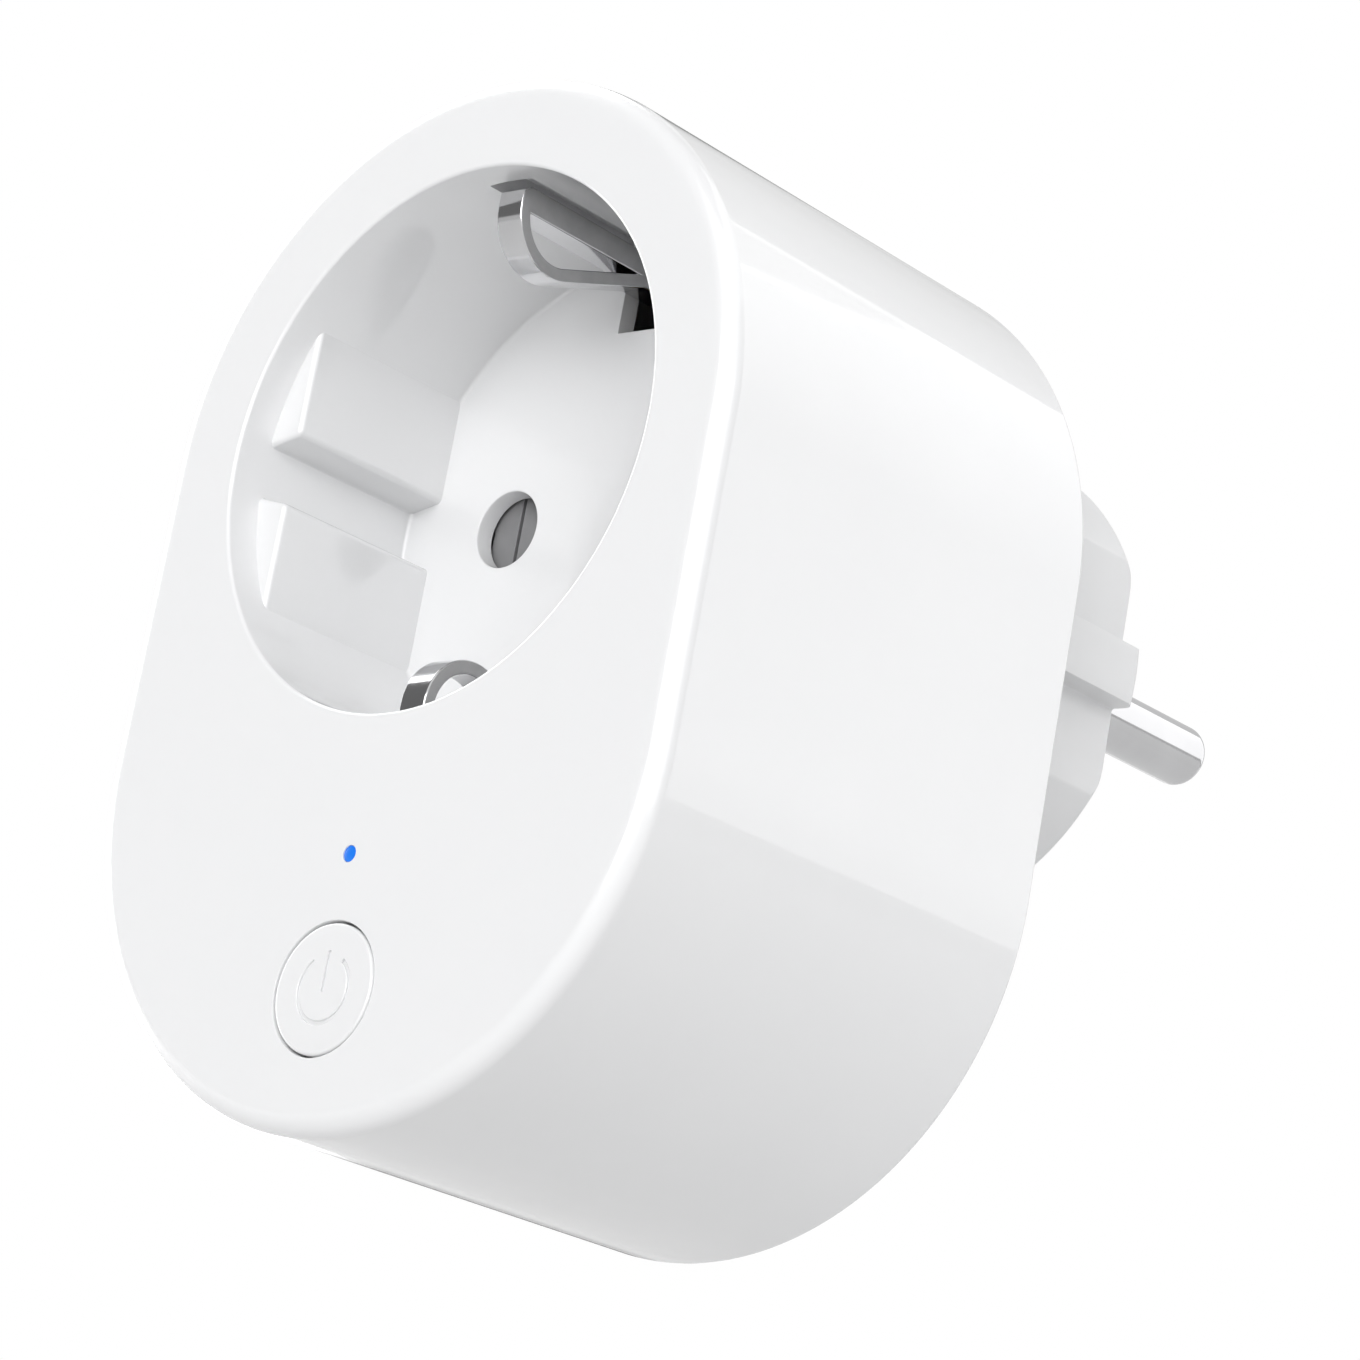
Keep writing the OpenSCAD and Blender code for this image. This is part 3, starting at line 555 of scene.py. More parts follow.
FINISHES: dict[str, Finish] = {
    "white_gloss": Finish("gloss_white", (0.80, 0.803, 0.81), (0.788, 0.791, 0.799), 0.30, coat=1.0,
                          coat_roughness=0.05, coat_ior=1.58, mottle=60, scale=900, height=0.0008),
    "white_satin": Finish("satin_white", (0.725, 0.728, 0.735), (0.705, 0.708, 0.715), 0.34, mottle=120,
                          scale=9000, height=0.004),
    "nickel": Finish("bright_nickel", (0.69, 0.69, 0.70), (0.66, 0.66, 0.67), 0.08,
                     metallic=1, spread=0.03, mottle=260, scale=420, height=0.0004),
    "steel": Finish("zinc_steel", (0.58, 0.59, 0.61), (0.48, 0.49, 0.51), 0.32, Pattern.BRUSHED, metallic=1,
                    mottle=700, height=0.003),
    "brass": Finish("stamped_brass", (0.80, 0.62, 0.30), (0.70, 0.52, 0.24), 0.26, Pattern.BRUSHED,
                    metallic=1, mottle=500, height=0.003),
    "copper": Finish("bare_copper", (0.80, 0.46, 0.30), (0.66, 0.34, 0.20), 0.30, Pattern.BRUSHED,
                     metallic=1, mottle=500, height=0.003),
    "grey_plastic": Finish("moulded_grey", (0.215, 0.215, 0.22), (0.195, 0.195, 0.20), 0.38, mottle=400,
                           scale=8000, height=0.006),
    "light_lens": Finish("lit_lens", (0.004, 0.05, 0.25), (0.003, 0.04, 0.2), 0.25, coat=0.2,
                         mottle=900, glow=(0.002, 0.15, 0.62), glow_strength=1.0),
    "board_green": Finish("green_board", (0.03, 0.20, 0.09), (0.02, 0.15, 0.07), 0.30, Pattern.BOARD,
                          coat=0.4, mottle=200, scale=260, height=0.03),
    "board_blue": Finish("blue_board", (0.03, 0.13, 0.30), (0.02, 0.10, 0.24), 0.30, Pattern.BOARD,
                         coat=0.4, mottle=200, scale=330, height=0.03),
    "black_plastic": Finish("black_moulding", (0.030, 0.030, 0.032), (0.022, 0.022, 0.024), 0.42,
                            mottle=500, scale=9000, height=0.01),
    "yellow_plastic": Finish("yellow_casing", (0.80, 0.58, 0.10), (0.74, 0.52, 0.08), 0.36, mottle=300,
                             scale=7000, height=0.008),
    "blue_coating": Finish("blue_epoxy", (0.04, 0.12, 0.42), (0.03, 0.09, 0.34), 0.28, coat=0.3,
                           mottle=450, scale=1500, height=0.03),
    "ferrite": Finish("sintered_ferrite", (0.06, 0.06, 0.065), (0.035, 0.035, 0.04), 0.6,
                      Pattern.GRANULAR, mottle=2500, scale=5000, height=0.03),
    "iron": Finish("soft_iron", (0.52, 0.52, 0.53), (0.42, 0.42, 0.43), 0.36, Pattern.BRUSHED, metallic=1,
                   mottle=600, height=0.004),
}
CUT_EDGE = Finish("cut_sheet_edge", (0.40, 0.40, 0.405), (0.36, 0.36, 0.365), 0.45,
                  metallic=0.25, mottle=700, scale=3500, height=0.0015)
WOUND_WIRE = Finish("enamelled_wire", (0.72, 0.28, 0.10), (0.60, 0.20, 0.07), 0.24, Pattern.WOUND,
                    coat=0.5, mottle=900, scale=900, height=0.12)
WOUND_TAPE = Finish("taped_winding", (0.82, 0.60, 0.10), (0.74, 0.52, 0.08), 0.32, Pattern.WOUND,
                    coat=0.2, mottle=500, scale=220, height=0.04)


class Finishes:
    """All the materials, each built once."""

    def __init__(self) -> None:
        """Builds the shared node groups."""
        grain = grain_group()
        self.groups = {
            "mottle": mottle_group(), "moulded": grain, "granular": grain, "brushed": brushed_group(),
            "board": tracks_group(), "wound": turns_group(),
        }
        self.made: dict[str, bpy.types.Material] = {}

    def get(self, finish: Finish) -> bpy.types.Material:
        """Returns the material of a finish."""
        if finish.name not in self.made:
            self.made[finish.name] = finish.build(self.groups)
        return self.made[finish.name]

    def dress(self, piece: bpy.types.Object, finish: Finish) -> None:
        """Gives a piece one finish all over."""
        piece.data.materials.clear()
        piece.data.materials.append(self.get(finish))


class Piece:
    """What every sub-assembly shares: how a finished piece is handed to the frame."""

    def fit(self, piece: bpy.types.Object, finishes: Finishes, slot: str, body: str,
            nodes: Sequence[str]) -> bpy.types.Object:
        """Dresses a piece and puts it in the place of CAD nodes.

        Args:
            piece: The finished solid.
            finishes: The materials.
            slot: The material slot that the piece takes its finish from.
            body: The body that it moves with.
            nodes: The CAD nodes that it stands for.

        Returns:
            The same piece.
        """
        finishes.dress(piece, FINISHES[slot])
        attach(piece, body)
        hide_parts(*nodes)
        LOG.info("%s: %d faces, rides on %s", piece.name, len(piece.data.polygons), body)
        return piece


# ---------------------------------------------------------------- sub-assemblies


@dataclass
class Housing(Piece):
    """The one-piece moulding with the face, the side wall and the socket recess. Sizes are in mm."""

    half_w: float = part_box("front_shell")[1].x / MM
    drop: float = -(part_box("front_shell")[0].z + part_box("front_shell")[1].x) / MM
    depth: float = (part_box("front_shell")[1].y - FRONT) / MM
    wall: float = 2.0
    front_round: float = 1.5
    rear_round: float = 0.5
    cover_t: float = 2.0
    recess_r: float = 19.9
    recess_d: float = 17.5
    cup_wall: float = 1.6
    floor_t: float = 1.5
    rim_round: float = 0.28
    flat_x: float = 16.9
    flat_top: float = 2.8
    groove_x: float = 20.0
    groove_mouth: float = 5.2
    groove_foot: float = 3.8
    pin_x: float = 9.5
    entry_r: float = 2.9
    slot_half_w: float = 1.95
    slot_near: float = 14.4
    slot_far: float = 18.9
    slot_head_half_w: float = 4.6
    slot_head_near: float = 18.35
    groove_half_w: float = 2.1
    groove_deep: float = 21.7
    groove_front: float = 2.6
    boss_half_w: float = 3.5
    boss_deep: float = 22.6
    screw_boss_r: float = 2.6
    screw_bore_r: float = 1.15
    screw_len: float = 10.0
    button_down: float = 39.1
    button_r: float = 4.7
    light_down: float = 29.8
    light_r: float = 0.6

    @property
    def floor_back(self) -> float:
        """Depth of the rear face of the recess floor."""
        return self.recess_d + self.floor_t

    def screw_places(self) -> list[tuple[float, float]]:
        """Lists the four screw places."""
        return [(side * x, down) for x, down in ((15.5, -14.5), (19.5, 30.0)) for side in (-1, 1)]

    def outside(self) -> bpy.types.Object:
        """Makes the solid block of the housing with its rounded front and rear edges."""
        r, fr, rr = self.half_w, self.front_round, self.rear_round
        profile = [(r - 9, 0.0), (r - fr - 0.6, 0.0)]
        profile += arc((r - fr, fr), fr, -90, 0, 10)
        profile += arc((r - rr, self.depth - rr), rr, 0, 90, 5)
        profile += [(r - 9, self.depth)]
        return stretch_down(turned("housing", profile), self.drop)

    def hollow(self) -> bpy.types.Object:
        """Makes the inner space behind the face, round the socket cup and the bosses."""
        inner = self.half_w - self.wall
        space = stretch_down(turned("space", [(inner, self.wall), (inner, self.depth + 1)]), self.drop)
        combine(space, turned("cup", [(self.recess_r + self.cup_wall, self.wall - 1),
                                      (self.recess_r + self.cup_wall, self.floor_back)]), Cut.TAKE)
        for low, high in ((0, self.boss_deep), (-self.boss_deep, 0)):
            combine(space, block("clip_boss", (-self.boss_half_w, low, self.wall - 1),
                                 (self.boss_half_w, high, self.floor_back)), Cut.TAKE)
        cover = self.depth - self.cover_t
        for across, down in self.screw_places():
            front = self.floor_back - 0.5 if down < 0 else self.wall - 1
            post = [(self.screw_boss_r, front), (self.screw_boss_r, cover)]
            combine(space, turned("post", post, across, down, SMALL_STEPS), Cut.TAKE)
        return space

    def rib(self, side: int) -> bpy.types.Object:
        """Makes the side flat with its tapered groove, as a solid that stays in the recess."""
        far = self.recess_r + 2
        rib = block("rib", (side * self.flat_x, -self.recess_r - 1, self.flat_top),
                    (side * far, self.recess_r + 1, self.recess_d + 2))
        mouth, foot = self.groove_mouth / 2, self.groove_foot / 2
        flare = (mouth - foot) / (self.groove_x - self.flat_x)
        corners = [(self.flat_x - 1, mouth + flare), (self.groove_x, foot), (self.groove_x, -foot),
                   (self.flat_x - 1, -mouth - flare)]
        groove = prism("groove", [place(side * x, down, self.flat_top - 1) for x, down in corners],
                       Vector((0, (self.recess_d + 4) * MM, 0)))
        combine(rib, groove, Cut.TAKE)
        return soften(rib, 0.4, 4, 25)

    def recess(self) -> bpy.types.Object:
        """Makes the space of the socket recess, with its rounded rim and its side ribs left out."""
        r, rim, depth = self.recess_r, self.rim_round, self.recess_d
        profile = [(r + rim + 0.4, -1.0), (r + rim, -0.001)]
        profile += [(r + rim - rim * math.sin(math.radians(a)), rim - rim * math.cos(math.radians(a)))
                    for a in (0, 15, 30, 45, 60, 75, 90)]
        profile += arc((r - 0.3, depth - 0.3), 0.3, 0, 90, 4)
        space = turned("recess", profile)
        for side in (-1, 1):
            combine(space, self.rib(side), Cut.TAKE)
        return space

    def slots(self, side: int) -> list[bpy.types.Object]:
        """Makes the T-shaped floor slot and the relief groove of one clip."""
        top, deep = self.recess_d - 0.6, self.floor_back + 1

        def corners(half: float, near: float, far: float) -> tuple[Point, Point]:
            """Returns the low and high corners of a cut on this side of the axis."""
            ends_down = sorted((side * near, side * far))
            return (-half, ends_down[0], top), (half, ends_down[1], deep)

        neck = block("neck", *corners(self.slot_half_w, self.slot_near, self.slot_far))
        head = block("head", *corners(self.slot_head_half_w, self.slot_head_near, self.slot_far))
        down = sorted((side * (self.recess_r - 2), side * self.groove_deep))
        relief = block("relief", (-self.groove_half_w, down[0], self.groove_front),
                       (self.groove_half_w, down[1], self.recess_d))
        return [neck, head, relief]

    def build(self, finishes: Finishes) -> bpy.types.Object:
        """Builds and dresses the housing.

        Args:
            finishes: The materials.

        Returns:
            The housing.
        """
        body = combine(self.outside(), self.hollow(), Cut.TAKE)
        combine(body, self.recess(), Cut.TAKE)
        for side in (-1, 1):
            for cut in self.slots(side):
                combine(body, cut, Cut.TAKE)
            lip = 0.2
            entry = [(self.entry_r + lip * 2, self.recess_d - lip), (self.entry_r + lip, self.recess_d),
                     (self.entry_r + 0.06, self.recess_d + 0.06), (self.entry_r, self.recess_d + lip),
                     (self.entry_r, self.floor_back + 1)]
            combine(body, turned("entry", entry, side * self.pin_x, 0, PIN_STEPS), Cut.TAKE)
        ring = self.button_r
        hole = [(ring + 0.3, -0.2), (ring + 0.1, 0.0), (ring + 0.03, 0.04), (ring, 0.12),
                (ring, self.wall + 1)]
        combine(body, turned("button_hole", hole, 0, self.button_down, LARGE_STEPS), Cut.TAKE)
        hole = [(self.light_r, -1.0), (self.light_r, self.wall + 1)]
        combine(body, turned("light_hole", hole, 0, self.light_down, SMALL_STEPS), Cut.TAKE)
        cover = self.depth - self.cover_t
        for across, down in self.screw_places():
            bore = [(self.screw_bore_r, cover - self.screw_len), (self.screw_bore_r, cover + 1)]
            combine(body, turned("bore", bore, across, down, SCREW_STEPS), Cut.TAKE)
        return self.fit(polish(body), finishes, "white_gloss", "housing", ["front_shell"])


@dataclass
class RearCover(Piece):
    """The rear plate with the hollow plug island. Sizes are in mm."""

    housing: Housing
    gap: float = 0.1
    island_r: float = 18.85
    island_h: float = 18.2
    flat_x: float = 16.55
    ridge_x: float = 18.8
    ridge_w: float = 4.4
    end_round: float = 1.0
    notch_y: float = 14.6
    notch_w: float = 7.0
    cavity_r: float = 13.8
    end_wall: float = 2.0
    pocket_r: float = 3.3
    pocket_deep: float = 0.3
    shank_r: float = 1.93
    leg_half_w: float = 2.6
    leg_t: float = 0.85
    screw_r: float = 1.5
    head_r: float = 2.6
    head_t: float = 1.2

    def island(self) -> bpy.types.Object:
        """Makes the island with its side flats, side ridges, earth notches and rounded end."""
        back, end = self.housing.depth, self.housing.depth + self.island_h
        profile = [(self.island_r, back - 1.0), (self.island_r, end - self.end_round)]
        profile += arc((self.island_r - self.end_round, end - self.end_round), self.end_round, 0, 90, 8)[1:]
        profile += [(self.island_r - self.end_round - 3, end)]
        solid = turned("island", profile)
        far = self.island_r + 1
        for side in (-1, 1):
            sides = block("flat", (side * self.flat_x, -far, back - 2), (side * far, far, end + 1))
            ridge = block("ridge", (side * (self.flat_x - 0.5), -self.ridge_w / 2, back - 3),
                          (side * self.ridge_x, self.ridge_w / 2, end + 2))
            combine(sides, ridge, Cut.TAKE)
            combine(solid, soften(sides, 0.2, 3, 60), Cut.TAKE)
            down = sorted((side * self.notch_y, side * far))
            notch = block("notch", (-self.notch_w / 2, down[0], back), (self.notch_w / 2, down[1], end + 1))
            combine(solid, soften(notch, 0.2, 3, 60), Cut.TAKE)
        return solid

    def build(self, finishes: Finishes) -> bpy.types.Object:
        """Builds and dresses the rear cover.

        Args:
            finishes: The materials.

        Returns:
            The rear cover.
        """
        home = self.housing
        edge = home.half_w - home.wall - self.gap
        front, back = home.depth - home.cover_t, home.depth
        end = back + self.island_h
        rim = [(edge - 6, front), (edge, front), (edge, back - 0.25)]
        rim += arc((edge - 0.25, back - 0.25), 0.25, 0, 90, 4)[1:] + [(edge - 6, back)]
        body = stretch_down(turned("rear_cover_plate", rim), home.drop)
        combine(body, self.island(), Cut.ADD)
        cavity = [(self.cavity_r, front - 1), (self.cavity_r, end - self.end_wall)]
        combine(body, turned("cavity", cavity), Cut.TAKE)
        for side in (-1, 1):
            across = side * home.pin_x
            bore = [(self.shank_r, end - self.end_wall - 1), (self.shank_r, end + 1)]
            combine(body, turned("pin_bore", bore, across, 0, BORE_STEPS), Cut.TAKE)
            pocket = [(self.pocket_r, end - self.pocket_deep), (self.pocket_r, end + 1)]
            combine(body, turned("pin_pocket", pocket, across, 0, PIN_STEPS), Cut.TAKE)
            down = sorted((side * self.notch_y, side * (self.notch_y + self.leg_t)))
            combine(body, block("leg_slot", (-self.leg_half_w, down[0], front - 1),
                                (self.leg_half_w, down[1], back + 1)), Cut.TAKE)
        for across, down in home.screw_places():
            sink = [(self.screw_r, front - 1), (self.screw_r, back - self.head_t),
                    (self.head_r, back - self.head_t), (self.head_r, back - 0.2), (self.head_r + 0.2, back),
                    (self.head_r + 0.4, back + 0.2)]
            combine(body, turned("screw_sink", sink, across, down, BORE_STEPS), Cut.TAKE)
        return self.fit(polish(body), finishes, "white_satin", "housing", ["rear_cover"])


@dataclass
class Button(Piece):
    """The push button with its engraved ring and stroke. Sizes are in mm."""

    down: float = 39.1
    r: float = 4.55
    flange_r: float = 5.55
    flange_front: float = 2.1
    flange_t: float = 0.9
    stem_r: float = 1.3
    edge: float = 0.25
    ring_in: float = 2.2
    ring_out: float = 2.48
    sunk: float = 0.18

    def build(self, finishes: Finishes) -> bpy.types.Object:
        """Builds and dresses the button.

        Args:
            finishes: The materials.

        Returns:
            The button.
        """
        tip = (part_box("button_cap")[1].y - FRONT) / MM
        flange_back = self.flange_front + self.flange_t
        profile = [(self.r - 1.2, 0.0)] + arc((self.r - self.edge, self.edge), self.edge, -90, 0, 6)
        profile += [(self.r, self.flange_front), (self.flange_r, self.flange_front),
                    (self.flange_r, flange_back), (self.stem_r, flange_back), (self.stem_r, tip)]
        cap_steps = 160
        cap = turned("button", profile, 0, self.down, cap_steps)
        lip = 0.05
        ring_steps, ring_start, ring_sweep = 116, 125, 290
        ring = [(self.ring_in - lip, -0.3), (self.ring_in - lip, -0.001), (self.ring_in, lip),
                (self.ring_in, self.sunk), (self.ring_out, self.sunk), (self.ring_out, lip),
                (self.ring_out + lip, -0.001), (self.ring_out + lip, -0.3), (self.ring_in - lip, -0.3)]
        engraving = turned("ring", ring, 0, self.down, ring_steps, math.radians(ring_start),
                           math.radians(ring_sweep))
        combine(cap, engraving, Cut.TAKE)
        stroke = block("stroke", (-0.14, self.down - 2.6, -0.3), (0.14, self.down + 0.2, self.sunk))
        combine(cap, stroke, Cut.TAKE)
        return self.fit(polish(cap), finishes, "white_gloss", "button", ["button_cap"])


@dataclass
class StatusLight(Piece):
    """The light pipe with its slightly domed end. Sizes are in mm."""

    down: float = 29.8
    r: float = 0.55
    flange_r: float = 1.25
    flange_front: float = 2.0
    flange_back: float = 2.8
    dome: float = 0.06

    def build(self, finishes: Finishes) -> bpy.types.Object:
        """Builds and dresses the light pipe.

        Args:
            finishes: The materials.

        Returns:
            The light pipe.
        """
        tail = (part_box("light_pipe")[1].y - FRONT) / MM
        profile = [(self.r * share, self.dome * share**2) for share in (0.12, 0.4, 0.7, 0.9, 1.0)]
        profile += [(self.r, self.flange_front), (self.flange_r, self.flange_front),
                    (self.flange_r, self.flange_back), (self.r, self.flange_back), (self.r, tail)]
        pipe = turned("status_light", profile, 0, self.down, BORE_STEPS)
        return self.fit(polish(pipe), finishes, "light_lens", "housing", ["light_pipe"])


@dataclass
class EarthClips(Piece):
    """The two sprung earth clips of the socket. Sizes are in mm."""

    width: float = 2.4
    strip: float = 1.0
    bend_r: float = 4.15
    bend_depth: float = 7.05
    bend_down: float = 18.3
    slope: float = 19.0
    bar_top: float = 19.75
    bar_h: float = 1.9
    bar_front: float = 3.2
    bar_back: float = 15.6
    tail_near: float = 17.1
    tail_back: float = 20.4
    edge: float = 0.16
    steps: int = 28

    def outline(self) -> list[tuple[float, float]]:
        """Lists the outer outline as pairs of depth and distance from the socket axis."""
        run = 270 + self.slope
        rise = math.tan(math.radians(self.slope))
        bend = arc((self.bend_depth, self.bend_down), self.bend_r, 180, run, self.steps)
        depth, down = bend[-1]
        return bend + [
            (depth + (self.tail_near - down) / rise, self.tail_near), (self.tail_back, self.tail_near),
            (self.tail_back, self.tail_near + self.strip), (self.bar_back + 0.6, self.bar_top - 1),
            (self.bar_back, self.bar_top - 0.1), (self.bar_front + 0.4, self.bar_top),
            (self.bend_depth - self.bend_r, self.bar_top - 0.5),
        ]

    def window(self) -> list[tuple[float, float]]:
        """Lists the outline of the open space inside the loop."""
        inner = self.bend_r - self.strip
        near = self.bar_top - self.bar_h
        run = 270 + self.slope
        first = 180 - math.degrees(math.asin((near - self.bend_down) / inner))
        bend = arc((self.bend_depth, self.bend_down), inner, first, run, self.steps)
        depth, down = bend[-1]
        return bend + [(depth + (near - down) / math.tan(math.radians(self.slope)), near)]

    def clip(self, name: str) -> bpy.types.Object:
        """Makes the lower clip."""
        half = self.width / 2
        body = prism(name, [place(-half, down, depth) for depth, down in self.outline()],
                     Vector((self.width * MM, 0, 0)))
        hole = prism("window", [place(-half - 1, down, depth) for depth, down in self.window()],
                     Vector(((self.width + 2) * MM, 0, 0)))
        combine(body, hole, Cut.TAKE)
        return soften(body, self.edge, 3, 55)

    def build(self, finishes: Finishes) -> list[bpy.types.Object]:
        """Builds and dresses both clips.

        Args:
            finishes: The materials.

        Returns:
            The lower and the upper clip.
        """
        lower = self.clip("earth_spring_lower")
        upper = mirrored(lower, "earth_spring_upper")
        self.fit(polish(lower), finishes, "nickel", "clip_bottom", ["earth_clip_bottom"])
        self.fit(polish(upper), finishes, "nickel", "clip_top", ["earth_clip_top"])
        for clip in (lower, upper):
            clip.data.materials.append(finishes.get(CUT_EDGE))
            for face in clip.data.polygons:
                face.material_index = int(abs(face.normal.x) > 0.9)
        return [lower, upper]


@dataclass
class PlugPins(Piece):
    """The two round pins of the plug. Sizes are in mm."""

    housing: Housing
    island_end: float = 57.3
    r: float = 2.4
    tip: float = (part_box("live_pin")[1].y - FRONT) / MM
    tip_round: float = 1.15
    seat: float = 0.3
    shank_r: float = 1.9
    collar_r: float = 3.0
    collar_t: float = 1.0
    end_wall: float = 2.0

    def build(self, finishes: Finishes) -> list[bpy.types.Object]:
        """Builds and dresses both pins.

        Args:
            finishes: The materials.

        Returns:
            The live and the neutral pin.
        """
        root = self.island_end - self.end_wall - self.collar_t
        seat = self.island_end - self.seat
        profile = [(self.collar_r, root), (self.collar_r, root + self.collar_t),
                   (self.shank_r, root + self.collar_t),
                   (self.shank_r, seat), (self.r - 0.1, seat), (self.r, seat + 0.1)]
        profile += arc((self.r - self.tip_round, self.tip - self.tip_round), self.tip_round, 0, 90, 10)
        live = turned("plug_pin_right", profile, self.housing.pin_x, 0, PIN_STEPS)
        neutral = copied(live, Vector((-2 * self.housing.pin_x * MM, 0, 0)))
        neutral.name = "plug_pin_left"
        self.fit(polish(live), finishes, "nickel", "housing", ["live_pin"])
        self.fit(polish(neutral), finishes, "nickel", "housing", ["neutral_pin"])
        return [live, neutral]


@dataclass
class PlugEarth(Piece):
    """The two earth strips in the notches of the plug island. Sizes are in mm."""

    half_w: float = 2.5
    near: float = 14.6
    sheet: float = 0.8
    lip: float = 2.0

    def build(self, finishes: Finishes) -> list[bpy.types.Object]:
        """Builds and dresses both strips.

        Args:
            finishes: The materials.

        Returns:
            The lower and the upper strip.
        """
        low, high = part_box("plug_earth_bottom")
        front, back = (low.y - FRONT) / MM, (high.y - FRONT) / MM
        corners = [(front, self.near), (back, self.near), (back, self.near + self.lip),
                   (back - self.sheet, self.near + self.lip), (back - self.sheet, self.near + self.sheet),
                   (front, self.near + self.sheet)]
        lower = prism("plug_strip_lower", [place(-self.half_w, down, depth) for depth, down in corners],
                      Vector((self.half_w * 2 * MM, 0, 0)))
        soften(lower, 0.14, 3, 55)
        upper = mirrored(lower, "plug_strip_upper")
        self.fit(polish(lower), finishes, "nickel", "housing", ["plug_earth_bottom"])
        self.fit(polish(upper), finishes, "nickel", "housing", ["plug_earth_top"])
        return [lower, upper]


@dataclass
class CoverScrews(Piece):
    """The four cross-head screws of the rear cover. Sizes are in mm."""

    housing: Housing
    head_r: float = 2.4
    head_t: float = 1.1
    shaft_r: float = 1.3
    thread_r: float = 1.15
    length: float = 9.0
    pitch: float = 0.8

    def build(self, finishes: Finishes) -> bpy.types.Object:
        """Builds and dresses the screws as one piece.

        Args:
            finishes: The materials.

        Returns:
            The group of screws.
        """
        home = self.housing
        places = home.screw_places()
        cover = home.depth - home.cover_t
        seat = home.depth - 1.2
        top = seat + self.head_t
        profile = [(0.2, cover - self.length), (self.thread_r - 0.3, cover - self.length + 0.8)]
        depth = cover - self.length + 0.8
        while depth + self.pitch < cover:
            profile += [(self.thread_r, depth + self.pitch / 2), (self.thread_r - 0.25, depth + self.pitch)]
            depth += self.pitch
        profile += [(self.shaft_r, cover), (self.shaft_r, seat), (self.head_r, seat)]
        profile += arc((self.head_r - 0.45, top - 0.45), 0.45, 0, 90, 5)
        screw = turned("cover_screws", profile, *places[0], SMALL_STEPS)
        across, down = places[0]
        arm, half = self.head_r * 0.65, 0.3
        for reach, thick in ((arm, half), (half, arm)):
            combine(screw, block("cross", (across - reach, down - thick, top - 0.65),
                                 (across + reach, down + thick, top + 1)), Cut.TAKE)
        polish(screw)
        copies = [copied(screw, place(*there, 0) - place(*places[0], 0)) for there in places[1:]]
        take_up(screw)
        for twin in copies:
            twin.select_set(True)
        bpy.ops.object.join()
        return self.fit(screw, finishes, "steel", "housing", ["housing_screws"])


@dataclass
class Shutter(Piece):
    """The grey child-safety shutter behind the entry holes. Sizes are in mm."""

    pin_x: float = 9.5
    half_w: float = 3.0
    half_h: float = 3.5
    link_near: float = 3.7
    link_far: float = 5.5
    ramp: float = 3.3
    step: float = 0.3

    def build(self, finishes: Finishes) -> bpy.types.Object:
        """Builds and dresses the shutter.

        Args:
            finishes: The materials.

        Returns:
            The shutter.
        """
        low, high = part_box("shutter")
        front, back = (low.y - FRONT) / MM, (high.y - FRONT) / MM
        left, right, far = -self.pin_x, self.pin_x, -self.link_far
        corners = [(left - self.half_w, far), (right + self.half_w, far), (right + self.half_w, self.half_h),
                   (right - self.half_w, self.half_h), (right - self.half_w, -self.link_near),
                   (left + self.half_w, -self.link_near), (left + self.half_w, self.half_h),
                   (left - self.half_w, self.half_h)]
        slide = prism("child_shutter", [place(x, down, front) for x, down in corners],
                      Vector((0, (back - front) * MM, 0)))
        for side in (left, right):
            edge = side + self.half_w
            wedge = [place(edge - self.ramp, -self.half_h + 0.3, front - 0.01),
                     place(edge + 0.2, -self.half_h + 0.3, front - 0.01),
                     place(edge + 0.2, -self.half_h + 0.3, front + (back - front) * 0.65)]
            combine(slide, prism("ramp", wedge, Vector((0, 0, -(self.half_h * 2 - 0.9) * MM))), Cut.TAKE)
            start = edge - self.ramp
            combine(slide, block("step", (start - self.step, 0.3 - self.half_h, front - 1),
                                 (start, self.half_h - 0.6, front + 0.8)), Cut.TAKE)
        return self.fit(polish(soften(slide, 0.08, 2, 55)), finishes, "grey_plastic", "shutter", ["shutter"])


class Inside:
    """The inner parts: each keeps its CAD shape and gets the finish of its slot."""

    special: dict[str, Finish] = {"relay_coil": WOUND_WIRE, "transformer_winding": WOUND_TAPE}

    def dress(self, finishes: Finishes) -> int:
        """Gives every CAD node its finish.

        Args:
            finishes: The materials.

        Returns:
            The number of nodes dressed.
        """
        slots = {part["node"]: part["material_slot"] for part in frame["record"]["subparts"]}
        for name, node in frame["nodes"].items():
            finishes.dress(node, self.special.get(name, FINISHES[slots[name]]))
        LOG.info("%d CAD nodes dressed", len(frame["nodes"]))
        return len(frame["nodes"])


# ---------------------------------------------------------------- studio


